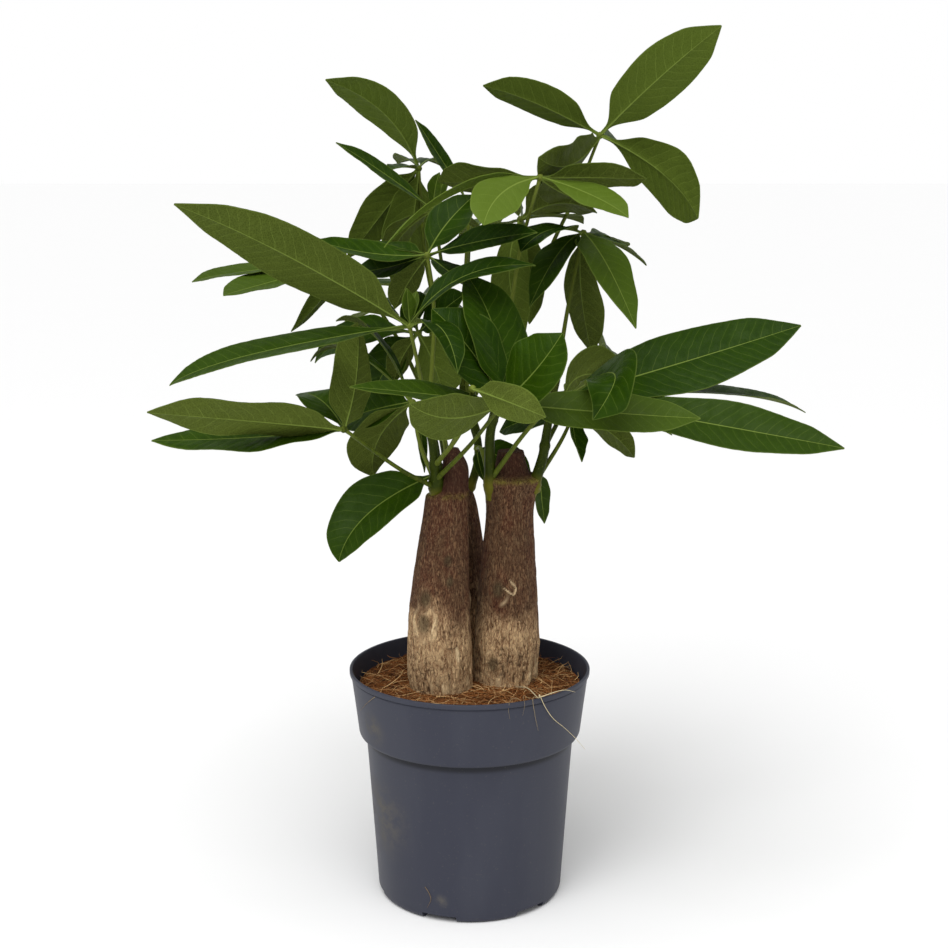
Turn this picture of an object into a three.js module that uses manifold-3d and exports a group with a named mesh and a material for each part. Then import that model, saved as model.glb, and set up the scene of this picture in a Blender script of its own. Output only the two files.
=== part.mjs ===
// A potted money tree: three unbraided, bottle-shaped trunks in a thin-walled grower's pot of coir,
// each crowned by leafy shoots whose long stalks end in palmate leaves.
// Millimetres, +Z up; the origin is the middle of the pot's foot, the front faces -Y.
import * as THREE from 'three';
import { mergeVertices } from 'three/addons/utils/BufferGeometryUtils.js';
import Module from 'manifold-3d';

const wasm = await Module();
wasm.setup();

// Driving dimensions of the pot
const RIM_RADIUS = 85.6;
const POT_HEIGHT = 165.8;
const POT_WALL = 1.6;
const LIP_HEIGHT = 3.6;
const LIP_OVERHANG = 1.3;
const COLLAR_TOP_RADIUS = 84.2;
const COLLAR_FOOT_RADIUS = 79.2;
const COLLAR_FOOT_HEIGHT = 120.6;
const BODY_TOP_RADIUS = 74.2;
const BODY_FOOT_RADIUS = 66;
const FOOT_ROUNDING = 4;
const FLOOR_RECESS = 3;
const CENTRE_PAD_RADIUS = 15;
const FOOT_RING_WIDTH = 8;
const POT_SIDES = 40;
const NOTCH = { count: 6, width: 25, height: 4.6, depth: 14, firstAngle: -109 };
const DRAIN_HOLE = { count: 6, radius: 5, ringRadius: 34, sides: 12 };

// Driving dimensions of the soil and what stands in it
const SOIL_HEIGHT = 152.5;
const SOIL_CROWN = 2.5;
const SOIL_GRAIN = 0.9;
const FIT_GAP = 0.3;
const TRUNK_SIDES = 16;
const BARK_LOBE = 0.03;
const BARK_TWIST = 0.03;

// Driving dimensions of the leaves
const BLADE_THICKNESS = 0.9;
const STALK_THICKNESS = 1.8;
const STALK_SIDES = 4;
const STALK_STEPS = 5;
const STEM_SIDES = 6;
const STEM_STEPS = 6;
const STALK_RADIUS = { foot: 1.9, tip: 1.1 };
const HUB_RADIUS = 3.8;
const FOLD_DEGREES = 13;
// Outlines of a leaflet: part of its length, part of its full width
const OUTLINES = {
  long: [[0, 0.05], [0.08, 0.07], [0.3, 0.76], [0.56, 1], [0.82, 0.64], [1, 0.03]],
  broad: [[0, 0.05], [0.08, 0.07], [0.3, 0.68], [0.62, 1], [0.86, 0.68], [1, 0.03]],
  oval: [[0, 0.05], [0.07, 0.08], [0.26, 0.78], [0.52, 1], [0.82, 0.66], [1, 0.03]],
  egg: [[0, 0.05], [0.05, 0.1], [0.2, 0.76], [0.45, 1], [0.8, 0.68], [1, 0.03]],
  taper: [[0, 0.05], [0.05, 0.09], [0.22, 0.84], [0.46, 1], [0.8, 0.56], [1, 0.03]],
  plain: [[0, 0.05], [0.12, 0.12], [0.42, 0.95], [0.74, 0.86], [1, 0.03]],
};
const SMOOTHING = 0.04;

// Places in the crown are written as seen from the viewpoint: across and up, in mm on the picture
// plane at the crown's distance, and how far the point lies behind (+) or before (-) the pot's axis.
const VIEW = { distance: 1100, height: 523, side: 3.1, downDegrees: 11.2, planeDistance: 1072 };

const rad = THREE.MathUtils.degToRad;

function seen([across, up, depth]) {
  const pitch = rad(VIEW.downDegrees);
  const ray = new THREE.Vector3(
    across,
    VIEW.planeDistance * Math.cos(pitch) + up * Math.sin(pitch),
    up * Math.cos(pitch) - VIEW.planeDistance * Math.sin(pitch),
  );
  ray.multiplyScalar((depth + VIEW.distance) / ray.y);
  return ray.add(new THREE.Vector3(VIEW.side, -VIEW.distance, VIEW.height));
}

// Seeded randomness, so that the plant grows the same way each time
const FIRST_SHOOT_SEED = 31;
const SOIL_SEED = 23;
function seeded(seed) {
  let state = seed;
  return () => {
    state = (state * 1664525 + 1013904223) % 4294967296;
    return state / 4294967296;
  };
}

// Solids
function solidOf(geometry) {
  const bare = new THREE.BufferGeometry();
  bare.setAttribute('position', geometry.getAttribute('position'));
  if (geometry.index) bare.setIndex(geometry.index);
  const merged = mergeVertices(bare, 1e-3);
  return new wasm.Manifold(
    new wasm.Mesh({
      numProp: 3,
      vertProperties: merged.attributes.position.array,
      triVerts: new Uint32Array(merged.index.array),
    }),
  );
}

function geometryOf(solid) {
  const mesh = solid.getMesh();
  const geometry = new THREE.BufferGeometry();
  geometry.setAttribute('position', new THREE.BufferAttribute(mesh.vertProperties, 3));
  geometry.setIndex(new THREE.BufferAttribute(mesh.triVerts, 1));
  return geometry;
}

function fuse(solids) {
  return solids.reduce((whole, piece) => whole.add(piece));
}

function cutAway(solid, cutters) {
  return cutters.reduce((left, cutter) => left.subtract(cutter), solid);
}

// The largest body alone: crumbs are dropped, and a pocket closed in between stalks is filled
function mainBody(solid) {
  return solid.decompose().reduce((a, b) => (b.volume() > a.volume() ? b : a));
}

// Rings of points, each with the same number, skinned into one closed body
function skin(rings) {
  const sides = rings[0].length;
  const positions = rings.flat().flatMap((p) => [p.x, p.y, p.z]);
  const index = [];
  for (let i = 0; i + 1 < rings.length; i++) {
    for (let j = 0; j < sides; j++) {
      const a = i * sides + j;
      const b = i * sides + ((j + 1) % sides);
      index.push(a, b, b + sides, a, b + sides, a + sides);
    }
  }
  const last = (rings.length - 1) * sides;
  for (let j = 1; j + 1 < sides; j++) {
    index.push(0, j + 1, j);
    index.push(last, last + j, last + j + 1);
  }
  const geometry = new THREE.BufferGeometry();
  geometry.setAttribute('position', new THREE.Float32BufferAttribute(positions, 3));
  geometry.setIndex(index);
  return geometry;
}

// A round stalk along a smooth path, its radius running evenly from foot to tip
function stalk(points, footRadius, tipRadius, steps, sides = STALK_SIDES) {
  const curve = new THREE.CatmullRomCurve3(points);
  const rings = [];
  let side = null;
  for (let i = 0; i <= steps; i++) {
    const t = i / steps;
    const centre = curve.getPoint(t);
    const along = curve.getTangent(t);
    if (!side) side = new THREE.Vector3().crossVectors(along, new THREE.Vector3(0.3, 1, 0.1));
    side.addScaledVector(along, -side.dot(along)).normalize();
    const other = new THREE.Vector3().crossVectors(along, side);
    const radius = THREE.MathUtils.lerp(footRadius, tipRadius, t);
    rings.push(
      Array.from({ length: sides }, (_, j) => {
        const angle = (2 * Math.PI * j) / sides;
        return centre
          .clone()
          .addScaledVector(side, radius * Math.cos(angle))
          .addScaledVector(other, radius * Math.sin(angle));
      }),
    );
  }
  return skin(rings);
}

// A leaflet: a thin blade, widest past its middle and folded a little along the midrib. Its line runs
// from the hub through a point on the way to the tip. Tilt turns it about that line: at 0 its upper
// face looks at the viewpoint, at 90 it looks up and the blade is seen edge-on, past 90 its underside
// shows.
function bladeLine(hub, blade) {
  const [foot, way, tip] = [hub, blade.way, blade.tip].map(seen);
  const control = way
    .clone()
    .multiplyScalar(2)
    .addScaledVector(foot, -0.5)
    .addScaledVector(tip, -0.5);
  return new THREE.QuadraticBezierCurve3(foot, control, tip);
}

function bladeAcross(curve, tilt) {
  const chord = curve.v2.clone().sub(curve.v0).normalize();
  const middle = curve.getPoint(0.5);
  const eye = new THREE.Vector3(VIEW.side, -VIEW.distance, VIEW.height).sub(middle);
  eye.addScaledVector(chord, -eye.dot(chord)).normalize();
  const beside = new THREE.Vector3().crossVectors(eye, chord);
  const lift = beside.z >= 0 ? 1 : -1;
  const facing = eye
    .clone()
    .multiplyScalar(Math.cos(rad(tilt)))
    .addScaledVector(beside, lift * Math.sin(rad(tilt)));
  return new THREE.Vector3().crossVectors(chord, facing);
}

function bladeRings(hub, blade, random) {
  const curve = bladeLine(hub, blade);
  const across = bladeAcross(curve, blade.tilt);
  return OUTLINES[blade.outline].map(([t, part], i) => {
    const centre = curve.getPoint(t);
    const along = curve.getTangent(t);
    const side = across.clone().addScaledVector(along, -across.dot(along)).normalize();
    const face = new THREE.Vector3().crossVectors(side, along);
    const half = (blade.width * part) / 2;
    const rise = half * Math.sin(rad(FOLD_DEGREES));
    const reach = half * Math.cos(rad(FOLD_DEGREES));
    const wave = part > 0.3 ? 0.03 * blade.width : 0;
    const left = rise + wave * (random() - 0.5);
    const right = rise + wave * (random() - 0.5);
    const thick = (i < 2 ? STALK_THICKNESS : BLADE_THICKNESS) / 2;
    const at = (x, z) => centre.clone().addScaledVector(side, x).addScaledVector(face, z);
    return [
      at(-reach, left + thick),
      at(0, thick),
      at(reach, right + thick),
      at(reach, right - thick),
      at(0, -thick),
      at(-reach, left - thick),
    ];
  });
}

// Short ways to write the crown down. A leaflet has its tip, a place on the way there, its width and
// its tilt. A leaf leaves its shoot's stem at a joint (0 is the stem's foot, 1 its top), and its hub
// stands at the end of a stalk that passes through the places of its way, listed from the hub down.
const blade = (tip, way, width, tilt, outline = 'long') => ({ tip, way, width, tilt, outline });
const leaf = (joint, hub, stalkWay, blades) => ({ joint, hub, stalkWay, blades });

// The crown, shoot by shoot
const SHOOTS = [
  {
    node: 'shoot_left',
    stem: [[-24, -24, -14], [-25.2, -12, -18], [-25.4, 2, -21], [-27.4, 22, -26], [-33, 39, -31]],
    stemRadius: [5.4, 2.8],
    leaves: [
      leaf(0.98, [-43, 99, -70], [[-35, 60, -48]], [
        blade([-200, 180, -120], [-125, 146.2, -98], 48, 138, 'taper'),
        blade([-203, 59, -100], [-149, 79.4, -96], 31.5, 64, 'taper'),
        blade([41, 139, -75], [-8, 131, -78], 30, 66),
        blade([-11, 67, -130], [-22.5, 97.5, -108], 24, 58),
        blade([-45, 124, -74], [-44, 112, -73], 12, 40),
        blade([-38, 122, -60], [-41, 111, -65], 12, 45),
      ]),
      leaf(0.95, [-31, 146, -20], [[-27, 116, -18], [-28, 70, -22]], [
        blade([-107, 156, -36], [-68, 147, -28], 30, 64),
        blade([-81, 151, 8], [-55, 151, -6], 26, 76),
        blade([1, 186, -8], [-18, 167, -16], 31, 34),
        blade([42, 161, -66], [4, 155, -42], 30, 60),
        blade([-82, 134, -2], [-56, 138, -10], 30, 58),
        blade([-53, 110, -4], [-44, 128, -10], 26, 136),
        blade([-2, 124, -44], [-17, 135, -34], 22, 60),
      ]),
      leaf(0.3, [-87, 30, -55], [[-49, 3, -42]], [
        blade([-218, 41.2, -92], [-150, 35.8, -78], 42, 126, 'egg'),
        blade([-215, 22.2, -52], [-146, 24.4, -52], 40, 58, 'egg'),
        blade([-78, 101, -16], [-79, 64, -42], 43, 132, 'egg'),
        blade([-114, 54, -8], [-100, 47.5, -30], 36, 46, 'oval'),
      ]),
      leaf(0.4, [19, 47, -95], [[-2, 20, -60]], [
        blade([-28, 110, -90], [-2, 82, -98], 50, 42, 'oval'),
        blade([-6, 134, -62], [14, 94, -82], 54, 46, 'oval'),
        blade([59, 94, -116], [41, 69, -114], 46, 36, 'oval'),
        blade([-83, 58, -128], [-30, 53, -118], 30, 66),
        blade([-43, 47, -150], [-15, 37.6, -128], 34, 145, 'oval'),
        blade([151, 37, -100], [88, 41, -99], 36, 42, 'oval'),
      ]),
      leaf(0.55, [-1, 57, -122], [[-8, 30, -78]], [
        blade([48, 38, -152], [24, 48, -142], 25, 150, 'oval'),
      ]),
      leaf(0.36, [-27, -1, -8], [[-26, -2, -12]], [
        blade([-90, -58.6, -48], [-70.6, -26.6, -36], 46, 35, 'egg'),
      ]),
      leaf(0.35, [-41, 48, -14], [[-36, 20, -12]], [
        blade([-67, -1.5, 2], [-63.5, 24.5, -4], 47, 136, 'oval'),
        blade([-33, 1, -4], [-35.5, 26, -9], 8, 30, 'plain'),
        blade([-90, 35, 14], [-66, 43, 2], 42, 48, 'oval'),
        blade([-109, 75, -2], [-82, 82, -6], 26, 82),
        blade([-92, 102, 16], [-66, 92, 4], 28, 86),
      ]),
    ],
  },
  {
    node: 'shoot_middle',
    stem: [[12, -16, -2], [10.8, -4, -6], [10.4, 12, -10], [11, 28, -14], [16, 48, -16]],
    stemRadius: [4.6, 2.8],
    leaves: [
      leaf(0.95, [84, 226, 30], [[68, 186, 22], [53, 155, 16], [28, 96, 0]], [
        blade([165, 299, -4], [123.2, 264.2, 12], 43, 152, 'oval'),
        blade([6, 259, 20], [42.3, 247.2, 26], 38, 128, 'oval'),
        blade([149.5, 170.6, -34], [126, 200.6, 0], 45, 142, 'broad'),
        blade([43, 211, -44], [64, 206.4, -6], 39, 136, 'egg'),
        blade([108, 200, 120], [98, 219, 70], 30, 100, 'plain'),
      ]),
      leaf(0.9, [44, 198, -34], [[31, 150, -22], [23, 100, -14]], [
        blade([-60, 151, -74], [-9, 189, -56], 24, 94),
        blade([6.5, 166, -92], [19, 187.6, -66], 31, 24, 'broad'),
        blade([-24, 195, -2], [7, 195.4, -16], 36, 122, 'broad'),
        blade([115, 197, -58], [84, 198, -46], 30, 122, 'oval'),
        blade([103, 171, -84], [78, 186, -62], 26, 54),
        blade([92, 182, 6], [66, 185, -14], 44, 120, 'oval'),
      ]),
      leaf(0.85, [31, 170, 12], [[26, 120, 2]], [
        blade([82, 174, -16], [57, 181, -2], 42, 124, 'oval'),
        blade([73, 167, 44], [54, 172, 28], 28, 92, 'plain'),
        blade([34, 93, -8], [24, 132, 0], 35, 140, 'oval'),
        blade([37, 100, 22], [36.5, 137, 16], 30, 136, 'oval'),
        blade([-11, 158, 104], [12, 164, 66], 30, 96, 'plain'),
        blade([34, 156, 104], [33, 168, 60], 34, 96, 'plain'),
      ]),
      leaf(0.2, [2, 17, 26], [[5, 16, 4]], [
        blade([39, -4, 30], [18.6, 10.6, 30], 28, 30, 'plain'),
        blade([7, -5, 24], [3, 8, 24], 10, 30, 'plain'),
      ]),
      leaf(0.25, [59, 51, -38], [[38, 32, -30]], [
        blade([218, 99, -8], [143, 75.5, -20], 54, 38, 'oval'),
        blade([221, 41, 30], [164, 54, 8], 30, 78),
        blade([247, 17, -84], [164, 32.3, -62], 40, 40),
        blade([79, 36, -132], [93, 67, -112], 40, 24, 'broad'),
        blade([100, 60, -2], [73.5, 66.5, -22], 44, 140, 'oval'),
      ]),
    ],
  },
  {
    node: 'shoot_right',
    stem: [[37, -14, 2], [41, -4, -2], [46, 12, -4], [48.8, 30, -4], [55.5, 66, -2]],
    stemRadius: [4.8, 2.3],
    leaves: [
      leaf(0.98, [73, 161, 0], [[62.8, 112, 0]], [
        blade([108, 97, -48], [88.8, 139, -26], 37, 45, 'taper'),
        blade([101, 151, 60], [90, 157.5, 34], 22, 90, 'plain'),
        blade([115, 139, 24], [97, 152, 14], 26, 86),
        blade([37, 111, -32], [56, 146.5, -18], 29, 50),
        blade([79, 80, 22], [71.6, 124, 10], 33, 140, 'broad'),
        blade([31, 148, -54], [50, 162.5, -36], 33, 72),
      ]),
      leaf(0.2, [67, 41, 10], [[58, 22, 4]], [
        blade([72, 8, -14], [66.5, 27, -4], 26, 64),
        blade([107, 11, -8], [91, 28, 4], 32, 128, 'oval'),
        blade([132, 26, 34], [100, 39, 24], 26, 84),
        blade([97, 47, 112], [84, 54, 62], 34, 84, 'plain'),
        blade([44, 47, 96], [54, 54, 56], 34, 84, 'plain'),
        blade([17, 28, 34], [37, 36.5, 22], 30, 50, 'oval'),
      ]),
      leaf(0.12, [44, 2, 6], [[43, 3, 2]], [
        blade([47, -33, 12], [44.8, -14, 12], 15, 40, 'oval'),
      ]),
      leaf(0.6, [90, 69, 84], [[66, 50, 44]], [
        blade([146, 76, 168], [120, 80, 130], 38, 84, 'plain'),
        blade([112, 60, 186], [102, 74, 136], 38, 84, 'plain'),
        blade([84, 84, 176], [88, 86, 132], 38, 84, 'plain'),
        blade([64, 52, 156], [76, 68, 122], 36, 84, 'plain'),
      ]),
    ],
  },
  {
    node: 'shoot_back',
    stem: [[-4, -12, 38], [-1, -5, 34], [3, 12, 33], [0, 34, 36], [-8, 60, 42]],
    stemRadius: [3.6, 2.5],
    leaves: [
      leaf(0.98, [-27, 176, 24], [[-18, 118, 36]], [
        blade([-92, 221, -8], [-59, 199.5, 8], 18, 60),
        blade([-18, 202, 22], [-22, 190, 23], 12, 40),
        blade([-23, 201, 8], [-26, 189, 15], 12, 34),
        blade([6, 157, 32], [-8, 170, 29], 26, 100),
        blade([-59, 141, 36], [-46, 162, 30], 30, 122),
      ]),
      leaf(0.9, [-3, 180, 48], [[-6, 122, 46]], [
        blade([-39, 236, 24], [-22, 210, 38], 15, 50),
        blade([20, 176, 70], [10, 182, 62], 28, 100, 'plain'),
        blade([30, 172, 120], [14, 184, 86], 32, 92, 'plain'),
      ]),
      leaf(0.8, [-37, 204, 68], [[-30, 130, 58]], [
        blade([-99, 263, 32], [-59.3, 240.2, 50], 42, 130, 'broad'),
        blade([-51, 207, 134], [-44, 210, 104], 20, 90, 'plain'),
        blade([-23, 206, 130], [-29, 210, 102], 20, 90, 'plain'),
        blade([-55, 203, 24], [-47, 205, 46], 20, 84),
        blade([-84, 144, 72], [-59, 177, 68], 35, 146, 'oval'),
        blade([-50, 118, 54], [-42, 162, 60], 46, 142, 'oval'),
      ]),
      leaf(0.7, [-3, 158, 128], [[-4, 120, 88]], [
        blade([-49, 157, 170], [-28, 166, 150], 36, 84, 'plain'),
        blade([-23, 173, 226], [-14, 173, 178], 36, 90, 'plain'),
        blade([17, 167, 228], [8, 171, 180], 36, 90, 'plain'),
      ]),
    ],
  },
  {
    node: 'shoot_rear_left',
    stem: [[-12, -12, 44], [-14, -4, 50], [-18, 10, 54], [-22, 30, 60]],
    stemRadius: [4.2, 2.8],
    leaves: [
      leaf(0.98, [-86, 141, 48], [[-52, 92, 58]], [
        blade([-188, 128, 20], [-153, 135, 28], 27, 74),
        blade([-167, 119, -14], [-137, 127.5, 12], 34, 66),
        blade([-122, 95, 26], [-99.5, 120, 38], 22, 120),
        blade([-50, 106, 98], [-68, 122, 74], 32, 84, 'plain'),
        blade([-96, 129, 148], [-91, 141, 98], 36, 88, 'plain'),
      ]),
      leaf(0.6, [-37, 94, 34], [[-25, 52, 48]], [
        blade([-20, 52, 22], [-27, 75, 22], 46, 136, 'broad'),
        blade([-54, 60, 24], [-48, 78, 26], 24, 138, 'plain'),
        blade([-41, 122, 18], [-42, 110, 26], 30, 46, 'plain'),
        blade([-68, 50, 48], [-56, 74, 42], 40, 44, 'plain'),
        blade([-106, 74, 46], [-79, 92.5, 42], 40, 58, 'plain'),
        blade([-6, 120, 14], [-22, 108, 22], 32, 50, 'oval'),
      ]),
      leaf(0.98, [-29, 116, 130], [[-28, 78, 96]], [
        blade([-89, 96, 188], [-60, 112, 164], 38, 84, 'plain'),
        blade([-39, 109, 240], [-34, 120, 188], 38, 90, 'plain'),
        blade([4, 96, 202], [-12, 112, 170], 38, 84, 'plain'),
        blade([-83, 122, 116], [-56, 126, 124], 36, 84, 'plain'),
      ]),
      leaf(0.7, [17, 89, 112], [[0, 50, 84]], [
        blade([-13, 69, 190], [2, 86, 154], 36, 84, 'plain'),
        blade([17, 83, 230], [18, 94, 174], 38, 90, 'plain'),
      ]),
    ],
  },
];

// Trunks: the height above the pot's foot, the middle across and in depth, and the radius there
const TRUNKS = [
  {
    node: 'trunk_left',
    seed: 5,
    rings: [
      [112, -18, -14, 12],
      [130, -19, -14, 17.5],
      [154, -20, -14, 21],
      [176, -21, -14, 22.4],
      [202, -21, -14, 21.8],
      [230, -20, -14, 20],
      [258, -18, -14, 17.8],
      [284, -15.9, -14, 15.4],
      [293, -15.2, -14, 14.8],
      [297, -12.2, -14, 11.8],
      [314, -9.8, -14, 9],
      [326, -12, -13.5, 5],
    ],
  },
  {
    node: 'trunk_right',
    seed: 11,
    rings: [
      [112, 24, 4, 12],
      [130, 24.5, 4, 18],
      [151, 25.2, 4, 22],
      [173, 26.2, 4, 22.8],
      [195, 26.8, 4, 22.4],
      [220, 27, 4, 21.2],
      [250, 27.6, 4, 18.8],
      [276, 28.3, 4, 16.6],
      [293, 29.4, 4, 18.4],
      [302, 30.6, 4, 20.4],
      [306, 29.4, 4, 13.4],
      [321, 28.8, 4, 9.4],
    ],
  },
  {
    node: 'trunk_back',
    seed: 17,
    rings: [
      [112, -4, 41, 11],
      [130, -5, 41, 16],
      [154, -6, 41, 19.4],
      [178, -6.5, 40.5, 20],
      [206, -6, 40, 19.6],
      [232, -6.2, 39, 18.4],
      [256, -7.8, 38, 16.8],
      [276, -9.4, 38, 15],
      [290, -11, 38, 11.6],
      [299, -11, 38, 7.5],
    ],
  },
];

// The bark is a little lobed, so that no two sides are alike
function trunkSolid({ rings, seed }, grown = 0) {
  const random = seeded(seed);
  const lobes = [2, 3, 5].map((count) => ({
    count,
    size: BARK_LOBE / count,
    turn: 2 * Math.PI * random(),
    twist: BARK_TWIST * (random() - 0.5),
  }));
  return solidOf(
    skin(
      rings.map(([height, x, y, radius]) =>
        Array.from({ length: TRUNK_SIDES }, (_, j) => {
          const angle = (2 * Math.PI * j) / TRUNK_SIDES;
          const swell = lobes.reduce((sum, { count, size, turn, twist }) => {
            return sum + size * Math.sin(count * angle + turn + twist * height);
          }, 1);
          const r = radius * swell + grown;
          const lift = height === rings.at(-1)[0] ? grown : 0;
          return new THREE.Vector3(x + r * Math.cos(angle), y + r * Math.sin(angle), height + lift);
        }),
      ),
    ),
  );
}

// The pot
const lathe = (profile) =>
  new THREE.LatheGeometry(profile.map(([r, z]) => new THREE.Vector2(r, z)), POT_SIDES).rotateX(Math.PI / 2);

function bodyRadius(height) {
  return THREE.MathUtils.mapLinear(height, 0, COLLAR_FOOT_HEIGHT, BODY_FOOT_RADIUS, BODY_TOP_RADIUS);
}

const STEP_HEIGHT = COLLAR_FOOT_HEIGHT - 1.6;
const FLOOR_TOP = FLOOR_RECESS + POT_WALL + 0.4;
const INNER_CORNER = { radius: BODY_FOOT_RADIUS - POT_WALL - 3, height: FLOOR_TOP };

function potInside(clearance) {
  const shoulder = STEP_HEIGHT + POT_WALL;
  return [
    [0, FLOOR_TOP + clearance],
    [INNER_CORNER.radius - clearance, FLOOR_TOP + clearance],
    [bodyRadius(14) - POT_WALL - clearance, 12],
    [BODY_TOP_RADIUS - POT_WALL - clearance, shoulder - 2],
    [COLLAR_FOOT_RADIUS - POT_WALL - clearance, shoulder + 3],
    [COLLAR_TOP_RADIUS - POT_WALL - clearance, POT_HEIGHT - LIP_HEIGHT - 1],
  ];
}

function potSolid() {
  const footRadius = BODY_FOOT_RADIUS - FOOT_ROUNDING;
  const ringInner = footRadius - FOOT_RING_WIDTH;
  const corner = [30, 60].map((degrees) => [
    footRadius + FOOT_ROUNDING * Math.sin(rad(degrees)),
    FOOT_ROUNDING * (1 - Math.cos(rad(degrees))),
  ]);
  const lipFoot = POT_HEIGHT - LIP_HEIGHT;
  const outline = [
    [0, 0],
    [CENTRE_PAD_RADIUS, 0],
    [CENTRE_PAD_RADIUS + 1.5, FLOOR_RECESS],
    [ringInner - 1.5, FLOOR_RECESS],
    [ringInner, 0],
    [footRadius, 0],
    ...corner,
    [bodyRadius(FOOT_ROUNDING), FOOT_ROUNDING],
    [BODY_TOP_RADIUS, STEP_HEIGHT],
    [COLLAR_FOOT_RADIUS - 1.2, STEP_HEIGHT],
    [COLLAR_FOOT_RADIUS, COLLAR_FOOT_HEIGHT],
    [COLLAR_TOP_RADIUS, lipFoot - 0.4],
    [COLLAR_TOP_RADIUS + LIP_OVERHANG, lipFoot + 0.6],
    [RIM_RADIUS, POT_HEIGHT - 0.8],
    [RIM_RADIUS - 0.8, POT_HEIGHT],
    [RIM_RADIUS - 2, POT_HEIGHT],
    ...potInside(0).reverse(),
  ];
  let pot = solidOf(lathe(outline));
  for (let i = 0; i < NOTCH.count; i++) {
    const notch = new THREE.BoxGeometry(2 * NOTCH.depth, NOTCH.width, 2 * NOTCH.height)
      .translate(BODY_FOOT_RADIUS, 0, 0)
      .rotateZ(rad(NOTCH.firstAngle + (360 / NOTCH.count) * i));
    pot = pot.subtract(solidOf(notch));
  }
  for (let i = 0; i < DRAIN_HOLE.count; i++) {
    const { radius, sides, ringRadius, count } = DRAIN_HOLE;
    const hole = new THREE.CylinderGeometry(radius, radius, 4 * FLOOR_TOP, sides)
      .rotateX(Math.PI / 2)
      .translate(ringRadius, 0, 0)
      .rotateZ(rad((360 / count) * (i + 0.5)));
    pot = pot.subtract(solidOf(hole));
  }
  return pot;
}

// The soil fills the pot to just under the rim and heaps a little round the trunks
function soilSolid(trunks) {
  const random = seeded(SOIL_SEED);
  const wall = potInside(FIT_GAP).slice(0, -1);
  const topRadius = COLLAR_FOOT_RADIUS + 2.2 - POT_WALL - FIT_GAP;
  const heap = [1, 0.78, 0.52, 0.26].map((part) => [
    topRadius * part,
    SOIL_HEIGHT + SOIL_CROWN * (1 - part * part),
  ]);
  const body = lathe([...wall, ...heap, [0, SOIL_HEIGHT + SOIL_CROWN]]);
  const merged = mergeVertices(body.deleteAttribute('normal').deleteAttribute('uv'), 1e-3);
  const places = merged.attributes.position;
  for (let i = 0; i < places.count; i++) {
    if (places.getZ(i) > SOIL_HEIGHT + 0.1) {
      places.setZ(i, places.getZ(i) + SOIL_GRAIN * (random() - 0.5) * 2);
    }
  }
  return cutAway(solidOf(merged), trunks);
}

// A leafy shoot: its green stem, the leaf stalks and the leaflets of each hub, grown as one
function shootSolid(shoot, seed) {
  const random = seeded(seed);
  const stemLine = new THREE.CatmullRomCurve3(shoot.stem.map(seen));
  const pieces = [solidOf(stalk(shoot.stem.map(seen), ...shoot.stemRadius, STEM_STEPS, STEM_SIDES))];
  for (const { joint, hub, stalkWay, blades } of shoot.leaves) {
    const foot = stemLine.getPoint(joint);
    const line = [foot, ...stalkWay.map(seen).reverse(), seen(hub)];
    const knob = new THREE.OctahedronGeometry(HUB_RADIUS, 0).translate(...seen(hub).toArray());
    pieces.push(solidOf(stalk(line, STALK_RADIUS.foot, STALK_RADIUS.tip, STALK_STEPS)), solidOf(knob));
    for (const each of blades) {
      pieces.push(solidOf(skin(bladeRings(hub, each, random))));
    }
  }
  return fuse(pieces).simplify(SMOOTHING);
}

// Colours and surfaces
const FINISHES = {
  plastic: { color: 0x3d404c, roughness: 0.5, metalness: 0 },
  coir: { color: 0x8a5a34, roughness: 1, metalness: 0 },
  bark: { color: 0x7d6048, roughness: 0.95, metalness: 0 },
  leaf: { color: 0x33511c, roughness: 0.45, metalness: 0 },
};

const group = new THREE.Group();
function place(node, solid, finish) {
  const mesh = new THREE.Mesh(geometryOf(solid), new THREE.MeshStandardMaterial(FINISHES[finish]));
  mesh.name = node;
  group.add(mesh);
}

place('pot', potSolid(), 'plastic');
const trunkRoom = TRUNKS.map((trunk) => trunkSolid(trunk, FIT_GAP));
place('soil', soilSolid(trunkRoom), 'coir');
for (const trunk of TRUNKS) place(trunk.node, trunkSolid(trunk), 'bark');
SHOOTS.forEach((shoot, i) => {
  const grown = shootSolid(shoot, FIRST_SHOOT_SEED + i);
  place(shoot.node, mainBody(cutAway(grown, trunkRoom)), 'leaf');
});

export default group;
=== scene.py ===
"""The look of a potted money tree: a grower's pot of coir, three barked trunks and their leafy shoots.

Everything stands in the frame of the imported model: the origin is the middle of the pot's foot, +Z is up and
the front faces -Y. Sizes are written in millimetres and turned into metres when a mesh is made.
"""

import logging
from collections.abc import Callable, Sequence
from dataclasses import dataclass, field
from enum import Enum
from math import cos, pi, radians, sin

import bpy
import numpy as np
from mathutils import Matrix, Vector

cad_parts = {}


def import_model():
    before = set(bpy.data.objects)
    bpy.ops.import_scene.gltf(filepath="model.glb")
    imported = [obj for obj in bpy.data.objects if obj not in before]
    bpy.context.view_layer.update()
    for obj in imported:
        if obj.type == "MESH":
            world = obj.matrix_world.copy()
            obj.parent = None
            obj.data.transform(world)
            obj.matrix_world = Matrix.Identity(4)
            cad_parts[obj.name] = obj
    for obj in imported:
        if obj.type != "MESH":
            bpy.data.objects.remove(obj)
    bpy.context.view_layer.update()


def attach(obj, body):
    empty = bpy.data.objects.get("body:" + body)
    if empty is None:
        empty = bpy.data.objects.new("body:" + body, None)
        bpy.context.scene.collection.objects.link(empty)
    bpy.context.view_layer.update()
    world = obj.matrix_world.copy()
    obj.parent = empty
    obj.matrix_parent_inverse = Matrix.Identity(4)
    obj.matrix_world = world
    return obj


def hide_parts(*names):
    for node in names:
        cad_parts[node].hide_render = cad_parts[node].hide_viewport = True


LOG = logging.getLogger("money_tree")
METRE = 0.001
STALK_GUIDE = (0.45, 1.03, 0.16)
Array = np.ndarray
Colour = tuple[float, float, float, float]


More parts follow.
